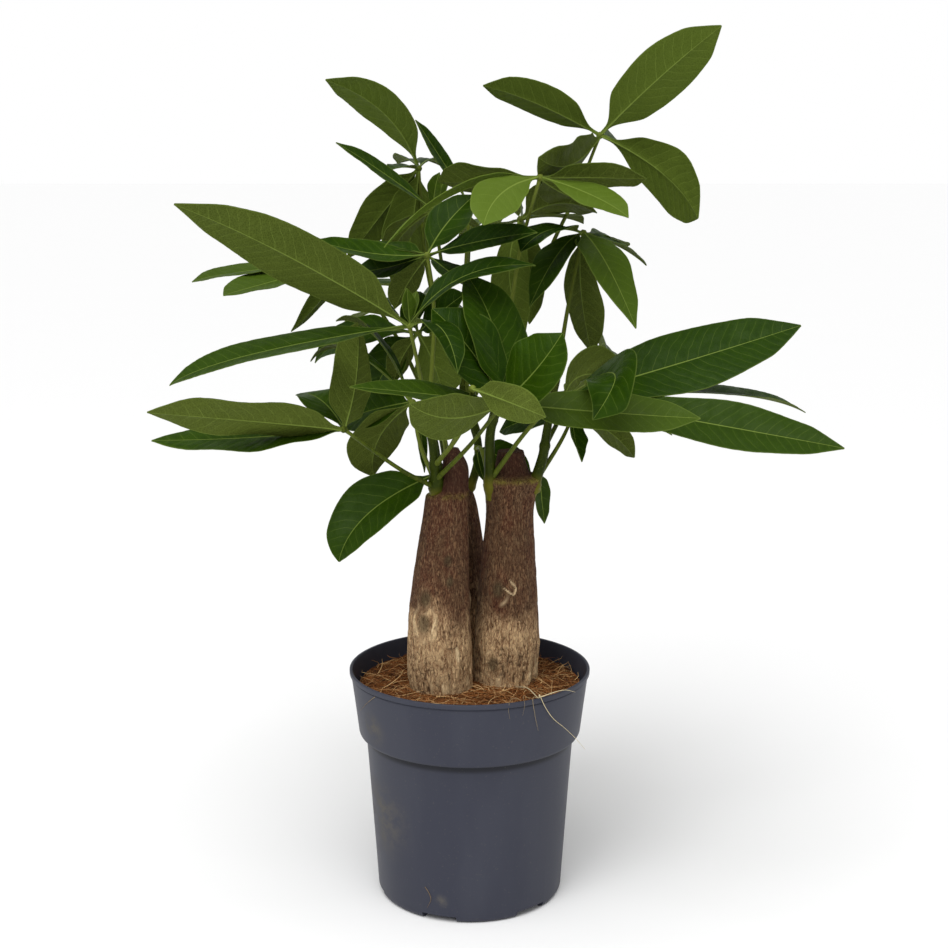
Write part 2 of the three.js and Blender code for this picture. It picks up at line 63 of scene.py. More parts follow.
def colour(red: int, green: int, blue: int) -> Colour:
    """A linear colour from the everyday numbers of a colour picker.

    Each number over 255 is divided by 12.92 up to 0.04045; above that 0.055 is added, the sum is divided by
    1.055, and it is raised to the power of 2.4.

    Args:
        red: from 0 to 255.
        green: the same.
        blue: the same.

    Returns:
        The linear red, green and blue, and an alpha of 1.
    """
    parts = np.array([red, green, blue]) / 255
    linear = np.where(parts <= 0.04045, parts / 12.92, ((parts + 0.055) / 1.055) ** 2.4)
    return (float(linear[0]), float(linear[1]), float(linear[2]), 1.0)


def unit(vectors: Array) -> Array:
    """The vectors along the last axis, each divided by its length."""
    return vectors / np.maximum(np.linalg.norm(vectors, axis=-1, keepdims=True), 1e-9)


def ease(values: Array, low: float, high: float) -> Array:
    """0 below low and 1 above high, joined by the curve 3x^2 - 2x^3."""
    x = np.clip((values - low) / (high - low), 0, 1)
    return x * x * (3 - 2 * x)


def fall(values: Array, low: float, high: float) -> Array:
    """1 below low and 0 above high, joined by the same curve."""
    return ease(-values, -high, -low)


def bell(values: Array, middle: float = 0.0, width: float = 1.0) -> Array:
    """1 at the middle and less beside it: e to the power of minus the square of the distance in widths."""
    return np.exp(-(((values - middle) / width) ** 2))


def turns(count: int) -> Array:
    """That many angles evenly round a circle, in radians."""
    return np.linspace(0, 2 * pi, count, endpoint=False)


def turned_from(angle: Array, middle: Array | float) -> Array:
    """How far each angle is from the middle one by the short way round, from -pi to pi."""
    return np.mod(angle - middle + pi, 2 * pi) - pi


def points_of(x: Array, y: Array, z: Array) -> Array:
    """Points from three arrays of coordinates whose shapes fit together."""
    return np.stack(np.broadcast_arrays(x, y, z), axis=-1)


def put(name: str, data: bpy.types.ID) -> bpy.types.Object:
    """A new object with that data, in the scene.

    Args:
        name: what it is called.
        data: its mesh, lamp or camera.

    Returns:
        The object.
    """
    made = bpy.data.objects.new(name, data)
    bpy.context.collection.objects.link(made)
    return made


def through(stations: Sequence[Sequence[float]], at: Array) -> Array:
    """A smooth curve through stations that never overshoots them.

    Each stretch is a cubic whose end slopes are the harmonic means of the slopes beside them, or nought where
    the curve turns.

    Args:
        stations: rows of a place and one or more values there.
        at: the places to work out.

    Returns:
        The values at those places, one column for each value of a station.
    """
    table = np.asarray(stations, float)
    x, y = table[:, 0], table[:, 1:]
    gap = np.diff(x)[:, None]
    slope = np.diff(y, axis=0) / gap
    before, after = slope[:-1], slope[1:]
    same = before * after > 0
    mean = np.where(same, 2 * before * after / np.where(same, before + after, 1), 0)
    ends = np.concatenate([slope[:1], mean, slope[-1:]])
    i = np.clip(np.searchsorted(x, at, side="right") - 1, 0, len(x) - 2)
    step = gap[i]
    u = ((at - x[i]) / step[:, 0])[:, None]
    return (
        y[i] * (1 + 2 * u) * (1 - u) ** 2
        + y[i + 1] * u**2 * (3 - 2 * u)
        + step * (ends[i] * u * (1 - u) ** 2 + ends[i + 1] * u**2 * (u - 1))
    )


def smooth_path(knots: Array, at: Array) -> tuple[Array, Array]:
    """A centripetal Catmull-Rom curve through the knots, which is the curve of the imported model's stalks.

    Args:
        knots: the points that it passes through, at least two.
        at: places along it, from 0 at the first knot to 1 at the last.

    Returns:
        The points there and the directions there.
    """
    ends = np.vstack([2 * knots[0] - knots[1], knots, 2 * knots[-1] - knots[-2]])
    gaps = np.maximum(np.sqrt(np.linalg.norm(np.diff(ends, axis=0), axis=1)), 1e-4)
    place = np.clip(at, 0, 1) * (len(knots) - 1)
    i = np.clip(place.astype(int), 0, len(knots) - 2)
    u = (place - i)[:, None]
    p0, p1, p2, p3 = (ends[i + k] for k in range(4))
    d0, d1, d2 = (gaps[i + k][:, None] for k in range(3))
    leave = ((p1 - p0) / d0 - (p2 - p0) / (d0 + d1) + (p2 - p1) / d1) * d1
    arrive = ((p2 - p1) / d1 - (p3 - p1) / (d1 + d2) + (p3 - p2) / d2) * d1
    square = -3 * p1 + 3 * p2 - 2 * leave - arrive
    cube = 2 * p1 - 2 * p2 + leave + arrive
    return p1 + leave * u + square * u**2 + cube * u**3, unit(leave + 2 * square * u + 3 * cube * u**2)


@dataclass(frozen=True)
class Grain:
    """Seeded random hills over a plane, which may wrap round in their first direction."""

    seed: int
    size: int = 512

    def at(self, u: Array, v: Array, around: int = 0) -> Array:
        """Random heights from -1 to 1 on a lattice one unit apart, with an eased mean between its points.

        Args:
            u: the first coordinate.
            v: the second coordinate.
            around: the number of lattice steps after which the first coordinate repeats, or 0.

        Returns:
            The height at each point.
        """
        heights = np.random.default_rng(self.seed).uniform(-1, 1, (self.size, self.size))
        turn = around or self.size
        i, j = np.floor(u).astype(int), np.floor(v).astype(int)
        x, y = ease(u - i, 0, 1), ease(v - j, 0, 1)
        i0, i1, j0, j1 = i % turn, (i + 1) % turn, j % self.size, (j + 1) % self.size
        near = heights[i0, j0] * (1 - x) + heights[i1, j0] * x
        far = heights[i0, j1] * (1 - x) + heights[i1, j1] * x
        return near * (1 - y) + far * y

    def layers(self, u: Array, v: Array, around: int = 0, count: int = 3) -> Array:
        """Several sheets of hills added up, each twice as fine and half as high as the one before.

        Args:
            u: the first coordinate.
            v: the second coordinate.
            around: the number of lattice steps after which the first coordinate repeats, or 0.
            count: the number of sheets.

        Returns:
            The height at each point, from -1 to 1.
        """
        finer = [2**k for k in range(count)]
        total = sum(Grain(self.seed + k).at(u * n, v * n, around * n) / n for k, n in enumerate(finer))
        return total / (2 - 2 ** (1 - count))


@dataclass(frozen=True)
class Viewpoint:
    """The place that the plant is looked at from, which its crown is written from too."""

    distance: float = 1100
    height: float = 523
    side: float = 3.1
    down_degrees: float = 11.2
    plane_distance: float = 1072
    plane_scale: float = 1.5
    frame_pixels: int = 948
    film_width: float = 36
    clip: tuple[float, float] = (0.05, 50)

    @property
    def eye(self) -> Array:
        """The viewpoint itself, in mm."""
        return np.array([self.side, -self.distance, self.height])

    def place(self, seen: Sequence) -> Array:
        """Turns places written as seen into places in the frame.

        A sight line runs through the point across and up on the picture plane, and the place is where it
        reaches the wanted depth.

        Args:
            seen: rows of across, up and depth, in mm.

        Returns:
            Rows of x, y and z, in mm.
        """
        across, up, depth = np.moveaxis(np.asarray(seen, float), -1, 0)
        pitch = radians(self.down_degrees)
        away = self.plane_distance * cos(pitch) + up * sin(pitch)
        rise = up * cos(pitch) - self.plane_distance * sin(pitch)
        ray = points_of(across, away, rise)
        return self.eye + ray * ((depth + self.distance) / ray[..., 1])[..., None]

    def build(self) -> None:
        """Makes the camera, with a lens as long as the picture plane's distance and scale ask for."""
        data = bpy.data.cameras.new("viewpoint")
        data.sensor_width = self.film_width
        data.lens = self.plane_distance * self.plane_scale * self.film_width / self.frame_pixels
        data.clip_start, data.clip_end = self.clip
        made = put("viewpoint", data)
        made.location = self.eye * METRE
        made.rotation_euler = (pi / 2 - radians(self.down_degrees), 0, 0)
        bpy.context.scene.camera = made


@dataclass
class Sheet:
    """A grid of points whose rows are rings, skinned side by side, and the marks that a finish reads."""

    points: Array
    marks: dict[str, Array] = field(default_factory=dict)
    finish: int = 0

    def faces(self) -> tuple[Array, Array, Array]:
        """The grid as a closed body: four-sided cells between neighbouring rings, and a fan over each end.

        Returns:
            The points with the middle of each end ring added, the four-sided cells, and the fans' triangles.
        """
        rows, columns = self.points.shape[:2]
        i, j = np.meshgrid(np.arange(rows - 1), np.arange(columns), indexing="ij")
        a = i * columns + j
        b = i * columns + (j + 1) % columns
        cells = np.stack([a, b, b + columns, a + columns], axis=-1).reshape(-1, 4)
        first = np.arange(columns)
        following = (first + 1) % columns
        last = (rows - 1) * columns
        low, high = rows * columns, rows * columns + 1
        fans = [points_of(following, first, low), points_of(first + last, following + last, high)]
        middles = self.points[[0, -1]].mean(axis=1)
        return np.concatenate([self.points.reshape(-1, 3), middles]), cells, np.concatenate(fans)

    def mark_values(self, name: str) -> Array:
        """One mark on every point of faces(), or nought where the sheet hasn't it.

        Args:
            name: the mark's name.

        Returns:
            A value for each point.
        """
        rows, columns = self.points.shape[:2]
        grid = np.broadcast_to(self.marks.get(name, np.zeros(1)), (rows, columns)).astype(float)
        return np.concatenate([grid.reshape(-1), grid[[0, -1]].mean(axis=1)])


@dataclass
class Piece:
    """One visible piece: the sheets it is made of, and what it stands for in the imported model."""

    name: str
    slot: str
    stands_for: Sequence[str] = ()
    sharp_degrees: float = 48
    sheets: list[Sheet] = field(default_factory=list)

    def make(self, finishes: Sequence[bpy.types.Material]) -> bpy.types.Object:
        """Makes the mesh, dresses it, and lets it ride on the body.

        Args:
            finishes: the materials that the sheets' finish numbers count.

        Returns:
            The object.
        """
        points, loops, starts, finish, offset, filled = [], [], [], [], 0, 0
        for sheet in self.sheets:
            places, cells, fans = sheet.faces()
            loops += [cells.reshape(-1) + offset, fans.reshape(-1) + offset]
            starts += [filled + 4 * np.arange(len(cells)), filled + cells.size + 3 * np.arange(len(fans))]
            finish.append(np.full(len(cells) + len(fans), sheet.finish))
            points.append(places)
            offset += len(places)
            filled += cells.size + fans.size
        mesh = bpy.data.meshes.new(self.name)
        mesh.vertices.add(offset)
        mesh.vertices.foreach_set("co", (np.concatenate(points) * METRE).astype(np.float32).ravel())
        mesh.loops.add(filled)
        mesh.loops.foreach_set("vertex_index", np.concatenate(loops).astype(np.int32))
        faces = np.concatenate(starts).astype(np.int32)
        mesh.polygons.add(len(faces))
        mesh.polygons.foreach_set("loop_start", faces)
        mesh.polygons.foreach_set("material_index", np.concatenate(finish).astype(np.int32))
        mesh.polygons.foreach_set("use_smooth", np.ones(len(faces), bool))
        mesh.update(calc_edges=True)
        for name in sorted({name for sheet in self.sheets for name in sheet.marks}):
            values = np.concatenate([sheet.mark_values(name) for sheet in self.sheets])
            layer = mesh.attributes.new(name, "FLOAT", "POINT")
            layer.data.foreach_set("value", values.astype(np.float32))
        mesh.set_sharp_from_angle(angle=radians(self.sharp_degrees))
        for material in finishes:
            mesh.materials.append(material)
        made = put(self.name, mesh)
        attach(made, "root")
        if self.stands_for:
            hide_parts(*self.stands_for)
        LOG.info("%s: %d faces", self.name, len(faces))
        return made


def tube(
    knots: Array, steps: int, sides: int, radius: Callable[[Array], Array], marks: dict[str, float]
) -> Sheet:
    """A round stalk along a smooth path.

    Each ring is centre + radius (side cos a + other sin a), where side is square to the path and to a fixed
    direction that no stalk runs in, and other is square to both.

    Args:
        knots: the points that the path passes through.
        steps: the stretches along it.
        sides: the corners of a ring.
        radius: the radius for each place from 0 to 1 along the path.
        marks: what the finish reads, the same all over the stalk.

    Returns:
        The sheet. It also carries the mark along, from 0 to 1.
    """
    t = np.linspace(0, 1, steps + 1)
    centres, along = smooth_path(knots, t)
    side = unit(np.cross(along, STALK_GUIDE))
    other = np.cross(along, side)
    angle = turns(sides)[None, :, None]
    ring = side[:, None] * np.cos(angle) + other[:, None] * np.sin(angle)
    points = centres[:, None] + ring * radius(t)[:, None, None]
    return Sheet(points, {"along": t[:, None], **{name: np.array([[mark]]) for name, mark in marks.items()}})


class Link:
    """A socket of a finish's node tree. Sums written with it add the nodes that work them out."""

    def __init__(self, board: "Board", socket: bpy.types.NodeSocket) -> None:
        """Keeps the socket and the board that it is on."""
        self.board = board
        self.socket = socket

    def math(self, operation: str, *others: "Link | float") -> "Link":
        """A Math node of this and the others."""
        return self.board.node("ShaderNodeMath", {"operation": operation}, dict(enumerate((self, *others))))

    def __add__(self, other: "Link | float") -> "Link":
        """This plus the other."""
        return self.math("ADD", other)

    __radd__ = __add__

    def __mul__(self, other: "Link | float") -> "Link":
        """This times the other."""
        return self.math("MULTIPLY", other)

    __rmul__ = __mul__

    def __sub__(self, other: "Link | float") -> "Link":
        """This less the other."""
        return self.math("SUBTRACT", other)

    def __rsub__(self, other: float) -> "Link":
        """The other less this."""
        return self.math("MULTIPLY", -1.0) + other

    def __truediv__(self, other: "Link | float") -> "Link":
        """This divided by the other."""
        return self.math("DIVIDE", other)

    def __abs__(self) -> "Link":
        """This without its sign."""
        return self.math("ABSOLUTE")

    def fade(self, low: float, high: float, start: float = 0.0, end: float = 1.0) -> "Link":
        """Start below low and end above high, with a smooth passage between them.

        Args:
            low: where the passage starts.
            high: where it ends.
            start: the value below it.
            end: the value above it.

        Returns:
            The faded value.
        """
        return self.board.node(
            "ShaderNodeMapRange",
            {"interpolation_type": "SMOOTHSTEP"},
            {"Value": self, "From Min": low, "From Max": high, "To Min": start, "To Max": end},
        )


class Board:
    """The node tree of one finish, with one method that adds any node."""

    def __init__(self, name: str) -> None:
        """Starts an empty material of that name with its shader and output."""
        self.start(bpy.data.materials.new(name), "ShaderNodeBsdfPrincipled", "ShaderNodeOutputMaterial")

    def start(self, owner: bpy.types.ID, shader: str, output: str) -> None:
        """Empties the owner's tree and adds the shader and the output, each given by its node's type.

        Args:
            owner: the material or the world.
            shader: the type of the shader's node.
            output: the type of the output's node.
        """
        owner.use_nodes = True
        self.owner, self.tree = owner, owner.node_tree
        self.tree.nodes.clear()
        self.shader = self.tree.nodes.new(shader)
        self.tree.links.new(self.shader.outputs[0], self.tree.nodes.new(output).inputs[0])

    def node(
        self, kind: str, settings: dict | None = None, values: dict | None = None, output: int | str = 0
    ) -> Link:
        """Adds a node.

        Args:
            kind: the node's type.
            settings: its own settings, which are set first; stops are a ramp's places and colours.
            values: a value or a link for each input, by name or number.
            output: the output that is wanted.

        Returns:
            That output.
        """
        made = self.tree.nodes.new(kind)
        for name, value in (settings or {}).items():
            if name == "stops":
                ramp = made.color_ramp.elements
                for _ in range(len(value) - len(ramp)):
                    ramp.new(0.5)
                for stop, (place, paint) in zip(ramp, value, strict=True):
                    stop.position, stop.color = place, paint
            else:
                setattr(made, name, value)
        for key, value in (values or {}).items():
            if isinstance(value, Link):
                self.tree.links.new(value.socket, made.inputs[key])
            else:
                made.inputs[key].default_value = value
        return Link(self, made.outputs[output])

    def mark(self, name: str) -> Link:
        """A mark that the mesh carries."""
        return self.node("ShaderNodeAttribute", {"attribute_name": name}, output="Fac")

    def marks(self, *names: str) -> list[Link]:
        """Several marks that the mesh carries."""
        return [self.mark(name) for name in names]

    def place(self, stretch: tuple[float, float, float] = (1, 1, 1)) -> Link:
        """The place on the object, stretched, in metres."""
        spot = self.node("ShaderNodeTexCoord", output="Object")
        return self.node("ShaderNodeMapping", {}, {"Vector": spot, "Scale": stretch})

    def noise(self, spot: Link, cell: float, detail: float = 3.0, rough: float = 0.5) -> Link:
        """Cloudy noise from 0 to 1 whose clouds are about cell mm across."""
        values = {"Vector": spot, "Scale": 1 / (cell * METRE), "Detail": detail, "Roughness": rough}
        return self.node("ShaderNodeTexNoise", {}, values)

    def cells(self, spot: Link, width: float) -> Link:
        """The distance to the nearest wall of cells that are about width mm across."""
        values = {"Vector": spot, "Scale": 1 / (width * METRE)}
        return self.node("ShaderNodeTexVoronoi", {"feature": "DISTANCE_TO_EDGE"}, values)

    def mix(self, factor: Link | float, first: Link | Colour, second: Link | Colour) -> Link:
        """First where the factor is 0 and second where it is 1."""
        return self.node("ShaderNodeMix", {"data_type": "RGBA"}, {0: factor, 6: first, 7: second}, output=2)

    def patch(self, spot: Link, centre: tuple[float, float, float], reach: float) -> Link:
        """1 at a place in metres, fading to 0 at that reach in metres.

        Args:
            spot: the place on the object.
            centre: the patch's middle, in metres.
            reach: how far it reaches, in metres.

        Returns:
            A factor from 0 to 1.
        """
        ends = {0: spot, 1: centre}
        away = self.node("ShaderNodeVectorMath", {"operation": "DISTANCE"}, ends, output="Value")
        return away.fade(0.0, reach, 1.0, 0.0)

    def bump(self, height: Link, strength: float, depth: float) -> Link:
        """A Bump node for a height from 0 to 1 that stands for depth mm."""
        values = {"Height": height, "Strength": strength, "Distance": depth * METRE}
        return self.node("ShaderNodeBump", {}, values, output="Normal")

    def finish(self, **sockets: "Link | float | Colour") -> bpy.types.ID:
        """Sets the shader's sockets, named in lower case with _ for a space, and gives the tree's owner.

        Args:
            **sockets: a value or a link for each socket.

        Returns:
            The material or the world.
        """
        names = {socket.name.lower().replace(" ", "_"): socket for socket in self.shader.inputs}
        for name, value in sockets.items():
            if isinstance(value, Link):
                self.tree.links.new(value.socket, names[name])
            else:
                names[name].default_value = value
        return self.owner


class Sky(Board):
    """The node tree of the light all round, which is a world's and not a material's."""

    def __init__(self, name: str) -> None:
        """Starts an empty world of that name with its background and output."""
        self.start(bpy.data.worlds.new(name), "ShaderNodeBackground", "ShaderNodeOutputWorld")


@dataclass(frozen=True)
class LeafFinish:
    """Leaf blades: deep green above, dull below, with a pale midrib, side veins and a net between them."""

    deep: Colour = colour(16, 38, 3)
    fresh: Colour = colour(44, 68, 5)
    young: Colour = colour(84, 104, 32)
    under: Colour = colour(78, 88, 32)
    under_dark: Colour = colour(58, 69, 19)
    vein: Colour = colour(122, 140, 62)
    rib_width: float = 0.55
    cloud_cell: float = 22
    wobble_cell: float = 16
    patch_cell: float = 9
    net_width: float = 1 / 0.7

    def make(self) -> bpy.types.Material:
        """Builds the material from the marks vein, rib, edge, along, below, youth and shade of the blades.

        Returns:
            The material.
        """
        board = Board("leaf_blade")
        spot = board.place()
        vein, rib, edge, along = board.marks("vein", "rib", "edge", "along")
        below, youth, shade = board.marks("below", "youth", "shade")
        clouds = board.noise(spot, self.cloud_cell, 4, 0.6)
        side = abs((vein + board.noise(spot, self.wobble_cell, 2, 0.5) * 0.9).math("FRACT") - 0.5)
        side_vein = side.fade(0.455, 0.5) * edge.fade(0.5, 5.0)
        cushion = side.fade(0.5, 0.08)
        net = board.cells(spot, self.net_width)
        patches = board.noise(spot, self.patch_cell, 3, 0.6).fade(0.42, 0.62)
        rib_here = (abs(rib) / ((1.25 - along) * self.rib_width)).fade(0.6, 1.3, 1.0, 0.0)
        fresh = (clouds * 0.7 + shade * 0.75 - 0.15).math("MAXIMUM", 0.0)
        upper = board.mix(fresh, self.deep, self.fresh)
        upper = board.mix(cushion * patches * 0.3, upper, self.deep)
        upper = board.mix(youth, upper, self.young)
        upper = board.mix(side_vein * (0.22 - patches * 0.11), upper, self.vein)
        pale = (clouds * 0.9 + shade * 0.4 - 0.1).math("MAXIMUM", 0.0)
        lower = board.mix(pale, self.under_dark, self.under)
        lower = board.mix(net.fade(0.22, 0.02) * 0.2, lower, self.vein)
        lower = board.mix(youth, lower, self.young)
        lower = board.mix(side_vein * (0.46 - patches * 0.2), lower, self.vein)
        flesh = board.mix(below, upper, lower)
        flesh = board.mix(edge.fade(0.25, 0.9, 0.25, 0.0), flesh, self.vein)
        flesh = board.mix(rib_here * 0.7, flesh, self.vein)
        roughness = patches * 0.14 + clouds * 0.1 + 0.26 + below * 0.3 + youth * 0.1
        relief = (net.fade(0.0, 0.35) * 0.25 + cushion * (0.3 + patches * 0.45)) * (1 - rib_here)
        normal = board.bump(relief, 0.55, 0.5)
        return board.finish(base_color=flesh, roughness=roughness, specular_ior_level=0.05, normal=normal)


@dataclass(frozen=True)
class StalkFinish:
    """Green stems and leaf stalks: streaked along, with paler ends and a yellow-green collar at the foot."""

    green: Colour = colour(74, 86, 16)
    pale: Colour = colour(118, 130, 52)
    dark: Colour = colour(42, 54, 8)
    wood: Colour = colour(38, 48, 3)
    collar: Colour = colour(104, 100, 28)
    streak_cell: float = 2.4
    speck_cell: float = 1.1

    def make(self) -> bpy.types.Material:
        """Builds the material from the marks along, stem and shade of the stalks.

        Returns:
            The material.
        """
        board = Board("green_stalk")
        spot = board.place((1, 1, 0.25))
        along, stem, shade = board.marks("along", "stem", "shade")
        streaks = board.noise(spot, self.streak_cell, 3, 0.6)
        speck = board.noise(board.place(), self.speck_cell, 2, 0.5)
        body = board.mix(streaks.fade(0.35, 0.7), self.dark, self.green)
        body = board.mix(shade * 0.6 + along.fade(0.8, 1.0) * 0.35, body, self.pale)
        body = board.mix(stem * (0.5 + streaks * 0.4), body, self.wood)
        body = board.mix(stem * along.fade(0.2, 0.36, 0.85, 0.0), body, self.collar)
        body = board.mix(speck.fade(0.62, 0.75) * 0.35, body, self.pale)
        return board.finish(
            base_color=body,
            roughness=streaks.fade(0.2, 0.8, 0.38, 0.55),
            specular_ior_level=0.08,
            normal=board.bump(streaks, 0.4, 0.5),
        )


@dataclass(frozen=True)
class BarkFinish:
    """Scaly bark: red-brown above, tan below and flaking to straw at the foot, dark between its scales.

    A negative age marks the stub above the collar, which is painted dark: painted shadow of the canopy over
    the cut wood's own darker brown. The rim is the green line of the collar itself. The scales wander off
    their places by the metres in wander.
    """

    furrow: Colour = colour(48, 28, 17)
    red: Colour = colour(88, 51, 34)
    brown: Colour = colour(88, 62, 42)
    ridge: Colour = colour(138, 104, 74)
    tan: Colour = colour(164, 127, 91)
    straw: Colour = colour(222, 188, 142)
    pith: Colour = colour(228, 200, 156)
    scar: Colour = colour(78, 70, 48)
    shaded_stub: Colour = colour(54, 27, 19)
    rim: Colour = colour(138, 130, 48)
    scale_width: float = 1.5
    fine_cell: float = 0.95
    strand_cell: float = 1.5
    cloud_cell: float = 17
    wander: tuple[float, float, float] = (0.0036, 0.0036, 0.0012)
    wander_scale: float = 420.0

    def make(self) -> bpy.types.Material:
        """Builds the material from the marks relief, age, scar, peel and rim of the trunks.

        Returns:
            The material.
        """
        board = Board("trunk_bark")
        wave = {"Vector": board.place((1, 1, 0.45)), "Scale": self.wander_scale, "Detail": 3.0}
        wander = board.node("ShaderNodeTexNoise", {}, wave, output="Color")
        moved = {0: wander, 1: self.wander, 2: board.place((1, 1, 0.26))}
        spot = board.node("ShaderNodeVectorMath", {"operation": "MULTIPLY_ADD"}, moved)
        scales = board.cells(spot, self.scale_width)
        fine = board.noise(spot, self.fine_cell, 3, 0.72)
        strand = board.noise(board.place((1, 1, 0.18)), self.strand_cell, 3, 0.65)
        cloud = board.noise(board.place((1, 1, 0.6)), self.cloud_cell, 3, 0.55)
        relief, age, scar, peel, rim = board.marks("relief", "age", "scar", "peel", "rim")
        aged = (age * 1.1 + cloud * 0.5 - 0.35).fade(0.1, 0.8)
        crest = (scales.fade(0.02, 0.4) * 0.25 + fine).fade(0.46, 0.78)
        skin = board.mix(aged, board.mix(cloud.fade(0.4, 0.62), self.brown, self.red), self.tan)
        skin = board.mix(crest * (aged * 0.15 + 0.6), skin, board.mix(aged, self.ridge, self.straw))
        skin = board.mix(strand.fade(0.5, 0.66) * (aged * 0.6 + 0.12), skin, self.straw)
        skin = board.mix(relief.fade(0.12, 0.5) * aged * 0.5, skin, self.straw)
        skin = board.mix(scar * 0.72, skin, self.scar)
        furrows = scales.fade(0.0, 0.12, 0.3, 0.0) + fine.fade(0.34, 0.5, 0.8, 0.0)
        furrows = furrows + relief.fade(-0.42, 0.0, 0.35, 0.0) + aged * relief.fade(-0.5, -0.1, 0.5, 0.0)
        furrows = furrows.math("MINIMUM", 0.92) * (1 - aged * 0.12)
        skin = board.mix(furrows, skin, self.furrow)
        skin = board.mix(peel * 0.92, skin, self.pith)
        # Painted shade: the stub above the collar is darkened, the canopy's shadow over the cut wood's own
        # darker brown.
        skin = board.mix((age * -1.0).fade(0.0, 0.6, 0.0, 0.66), skin, self.shaded_stub)
        skin = board.mix(rim * fine.fade(0.35, 0.6), skin, self.rim)
        return board.finish(
            base_color=skin,
            roughness=fine.fade(0.2, 0.8, 0.98, 0.82),
            specular_ior_level=0.2,
            normal=board.bump(crest * 0.8 + strand * 0.4, 0.8, 0.9),
        )


@dataclass(frozen=True)
class PotFinish:
    """Moulded blue-grey plastic: faint flow marks, a satin texture, dry dust, and painted shade under the
    collar.

    The dust's patches are places on the wall with their reach, and the painted shade under the collar is two
    pairs of heights between which it comes and goes, all in metres. The cells, here and in the other finishes,
    are in millimetres.
    """

    plastic: Colour = colour(52, 54, 66)
    light: Colour = colour(58, 60, 71)
    dust: Colour = colour(96, 92, 84)
    collar_shade: Colour = colour(26, 27, 33)
    collar_shade_rise: tuple[float, float] = (0.112, 0.1158)
    collar_shade_end: tuple[float, float] = (0.1192, 0.1196)
    flow_cell: float = 40
    satin_cell: float = 0.45
    smear_cell: float = 9
    scuff_cell: float = 6
    speck_cell: float = 1.6
    patches: tuple[tuple[float, float, float, float], ...] = (
        (-0.062, -0.034, 0.066, 0.038),
        (-0.066, -0.046, 0.135, 0.016),
        (-0.020, -0.066, 0.016, 0.007),
    )

    def make(self) -> bpy.types.Material:
        """Builds the material from places on the pot alone.

        Returns:
            The material.
        """
        board = Board("pot_plastic")
        spot = board.place()
        flow = board.noise(board.place((1, 1, 0.3)), self.flow_cell, 3, 0.55)
        satin = board.noise(spot, self.satin_cell, 2, 0.5)
        smear = board.noise(board.place((1, 0.6, 1)), self.smear_cell, 5, 0.65)
        skin = board.mix(flow.fade(0.35, 0.7), self.plastic, self.light)
        scuff = board.noise(board.place((0.5, 0.5, 3)), self.scuff_cell, 4, 0.7).fade(0.62, 0.72)
        scuff = scuff * flow.fade(0.45, 0.62) * 0.3
        first, *others = (board.patch(spot, patch[:3], patch[3]) for patch in self.patches)
        dust = (sum(others, first) * smear.fade(0.34, 0.62) * 0.75 + scuff * 0.4).math("MINIMUM", 0.75)
        skin = board.mix(dust, skin, self.dust)
        # Painted shade: a dark band on the body just under the collar's overhang, where its shadow falls.
        height = board.node("ShaderNodeSeparateXYZ", {}, {"Vector": spot}, output="Z")
        shade_under_collar = height.fade(*self.collar_shade_rise) * height.fade(*self.collar_shade_end, 1.0, 0.0)
        skin = board.mix(shade_under_collar * 0.85, skin, self.collar_shade)
        speck = board.noise(spot, self.speck_cell, 1, 0.5)
        skin = board.mix(speck.fade(0.68, 0.74) * 0.18, skin, self.dust)
        return board.finish(
            base_color=skin,
            roughness=flow.fade(0.3, 0.7, 0.42, 0.52) + dust * 0.35,
            specular_ior_level=0.22,
            normal=board.bump(satin * 0.6 + smear * 0.4, 0.12, 0.25),
        )


@dataclass(frozen=True)
class CoirFinish:
    """Coir dust and crumbs between the fibres."""

    dark: Colour = colour(44, 28, 18)
    brown: Colour = colour(116, 74, 38)
    orange: Colour = colour(158, 104, 54)
    crumb_cell: float = 1.8
    damp_cell: float = 26

    def make(self) -> bpy.types.Material:
        """Builds the material from crumbs about 2 mm across and clouds of damp.

        Returns:
            The material.
        """
        board = Board("coir_soil")
        spot = board.place()
        crumbs = board.noise(spot, self.crumb_cell, 5, 0.75)
        damp = board.noise(spot, self.damp_cell, 3, 0.5)
        body = board.mix(crumbs.fade(0.36, 0.6), self.dark, self.brown)
        body = board.mix(crumbs.fade(0.56, 0.7) * damp.fade(0.35, 0.65), body, self.orange)
        normal = board.bump(crumbs, 1.0, 2.0)
        return board.finish(base_color=body, roughness=1.0, specular_ior_level=0.1, normal=normal)


@dataclass(frozen=True)
class FibreFinish:
    """Dry fibres from dark brown to straw, each of one shade."""

    name: str = "coir_fibre"
    dark: Colour = colour(62, 34, 16)
    middle: Colour = colour(152, 94, 46)
    light: Colour = colour(222, 184, 128)
    fine_cell: float = 1.5

    def make(self) -> bpy.types.Material:
        """Builds the material from the fibres' mark shade.

        Returns:
            The material.
        """
        board = Board(self.name)
        shade = board.mark("shade")
        fine = board.noise(board.place(), self.fine_cell, 2, 0.5)
        stops = [(0.0, self.dark), (0.55, self.middle), (1.0, self.light)]
        body = board.node("ShaderNodeValToRGB", {"stops": stops}, {"Fac": shade + (fine - 0.5) * 0.3})
        return board.finish(base_color=body, roughness=0.8, specular_ior_level=0.25)


@dataclass(frozen=True)
class FloorFinish:
    """The plain pale floor, with the slightest unevenness."""

    paint: Colour = (0.9, 0.9, 0.9, 1.0)
    paler: Colour = (0.93, 0.93, 0.93, 1.0)
    cloud_cell: float = 300

    def make(self) -> bpy.types.Material:
        """Builds the material.

        Returns:
            The material.
        """
        board = Board("pale_floor")
        cloud = board.noise(board.place(), self.cloud_cell, 2, 0.5)
        body = board.mix(cloud * 0.2, self.paint, self.paler)
        return board.finish(base_color=body, roughness=0.95, specular_ior_level=0.05)


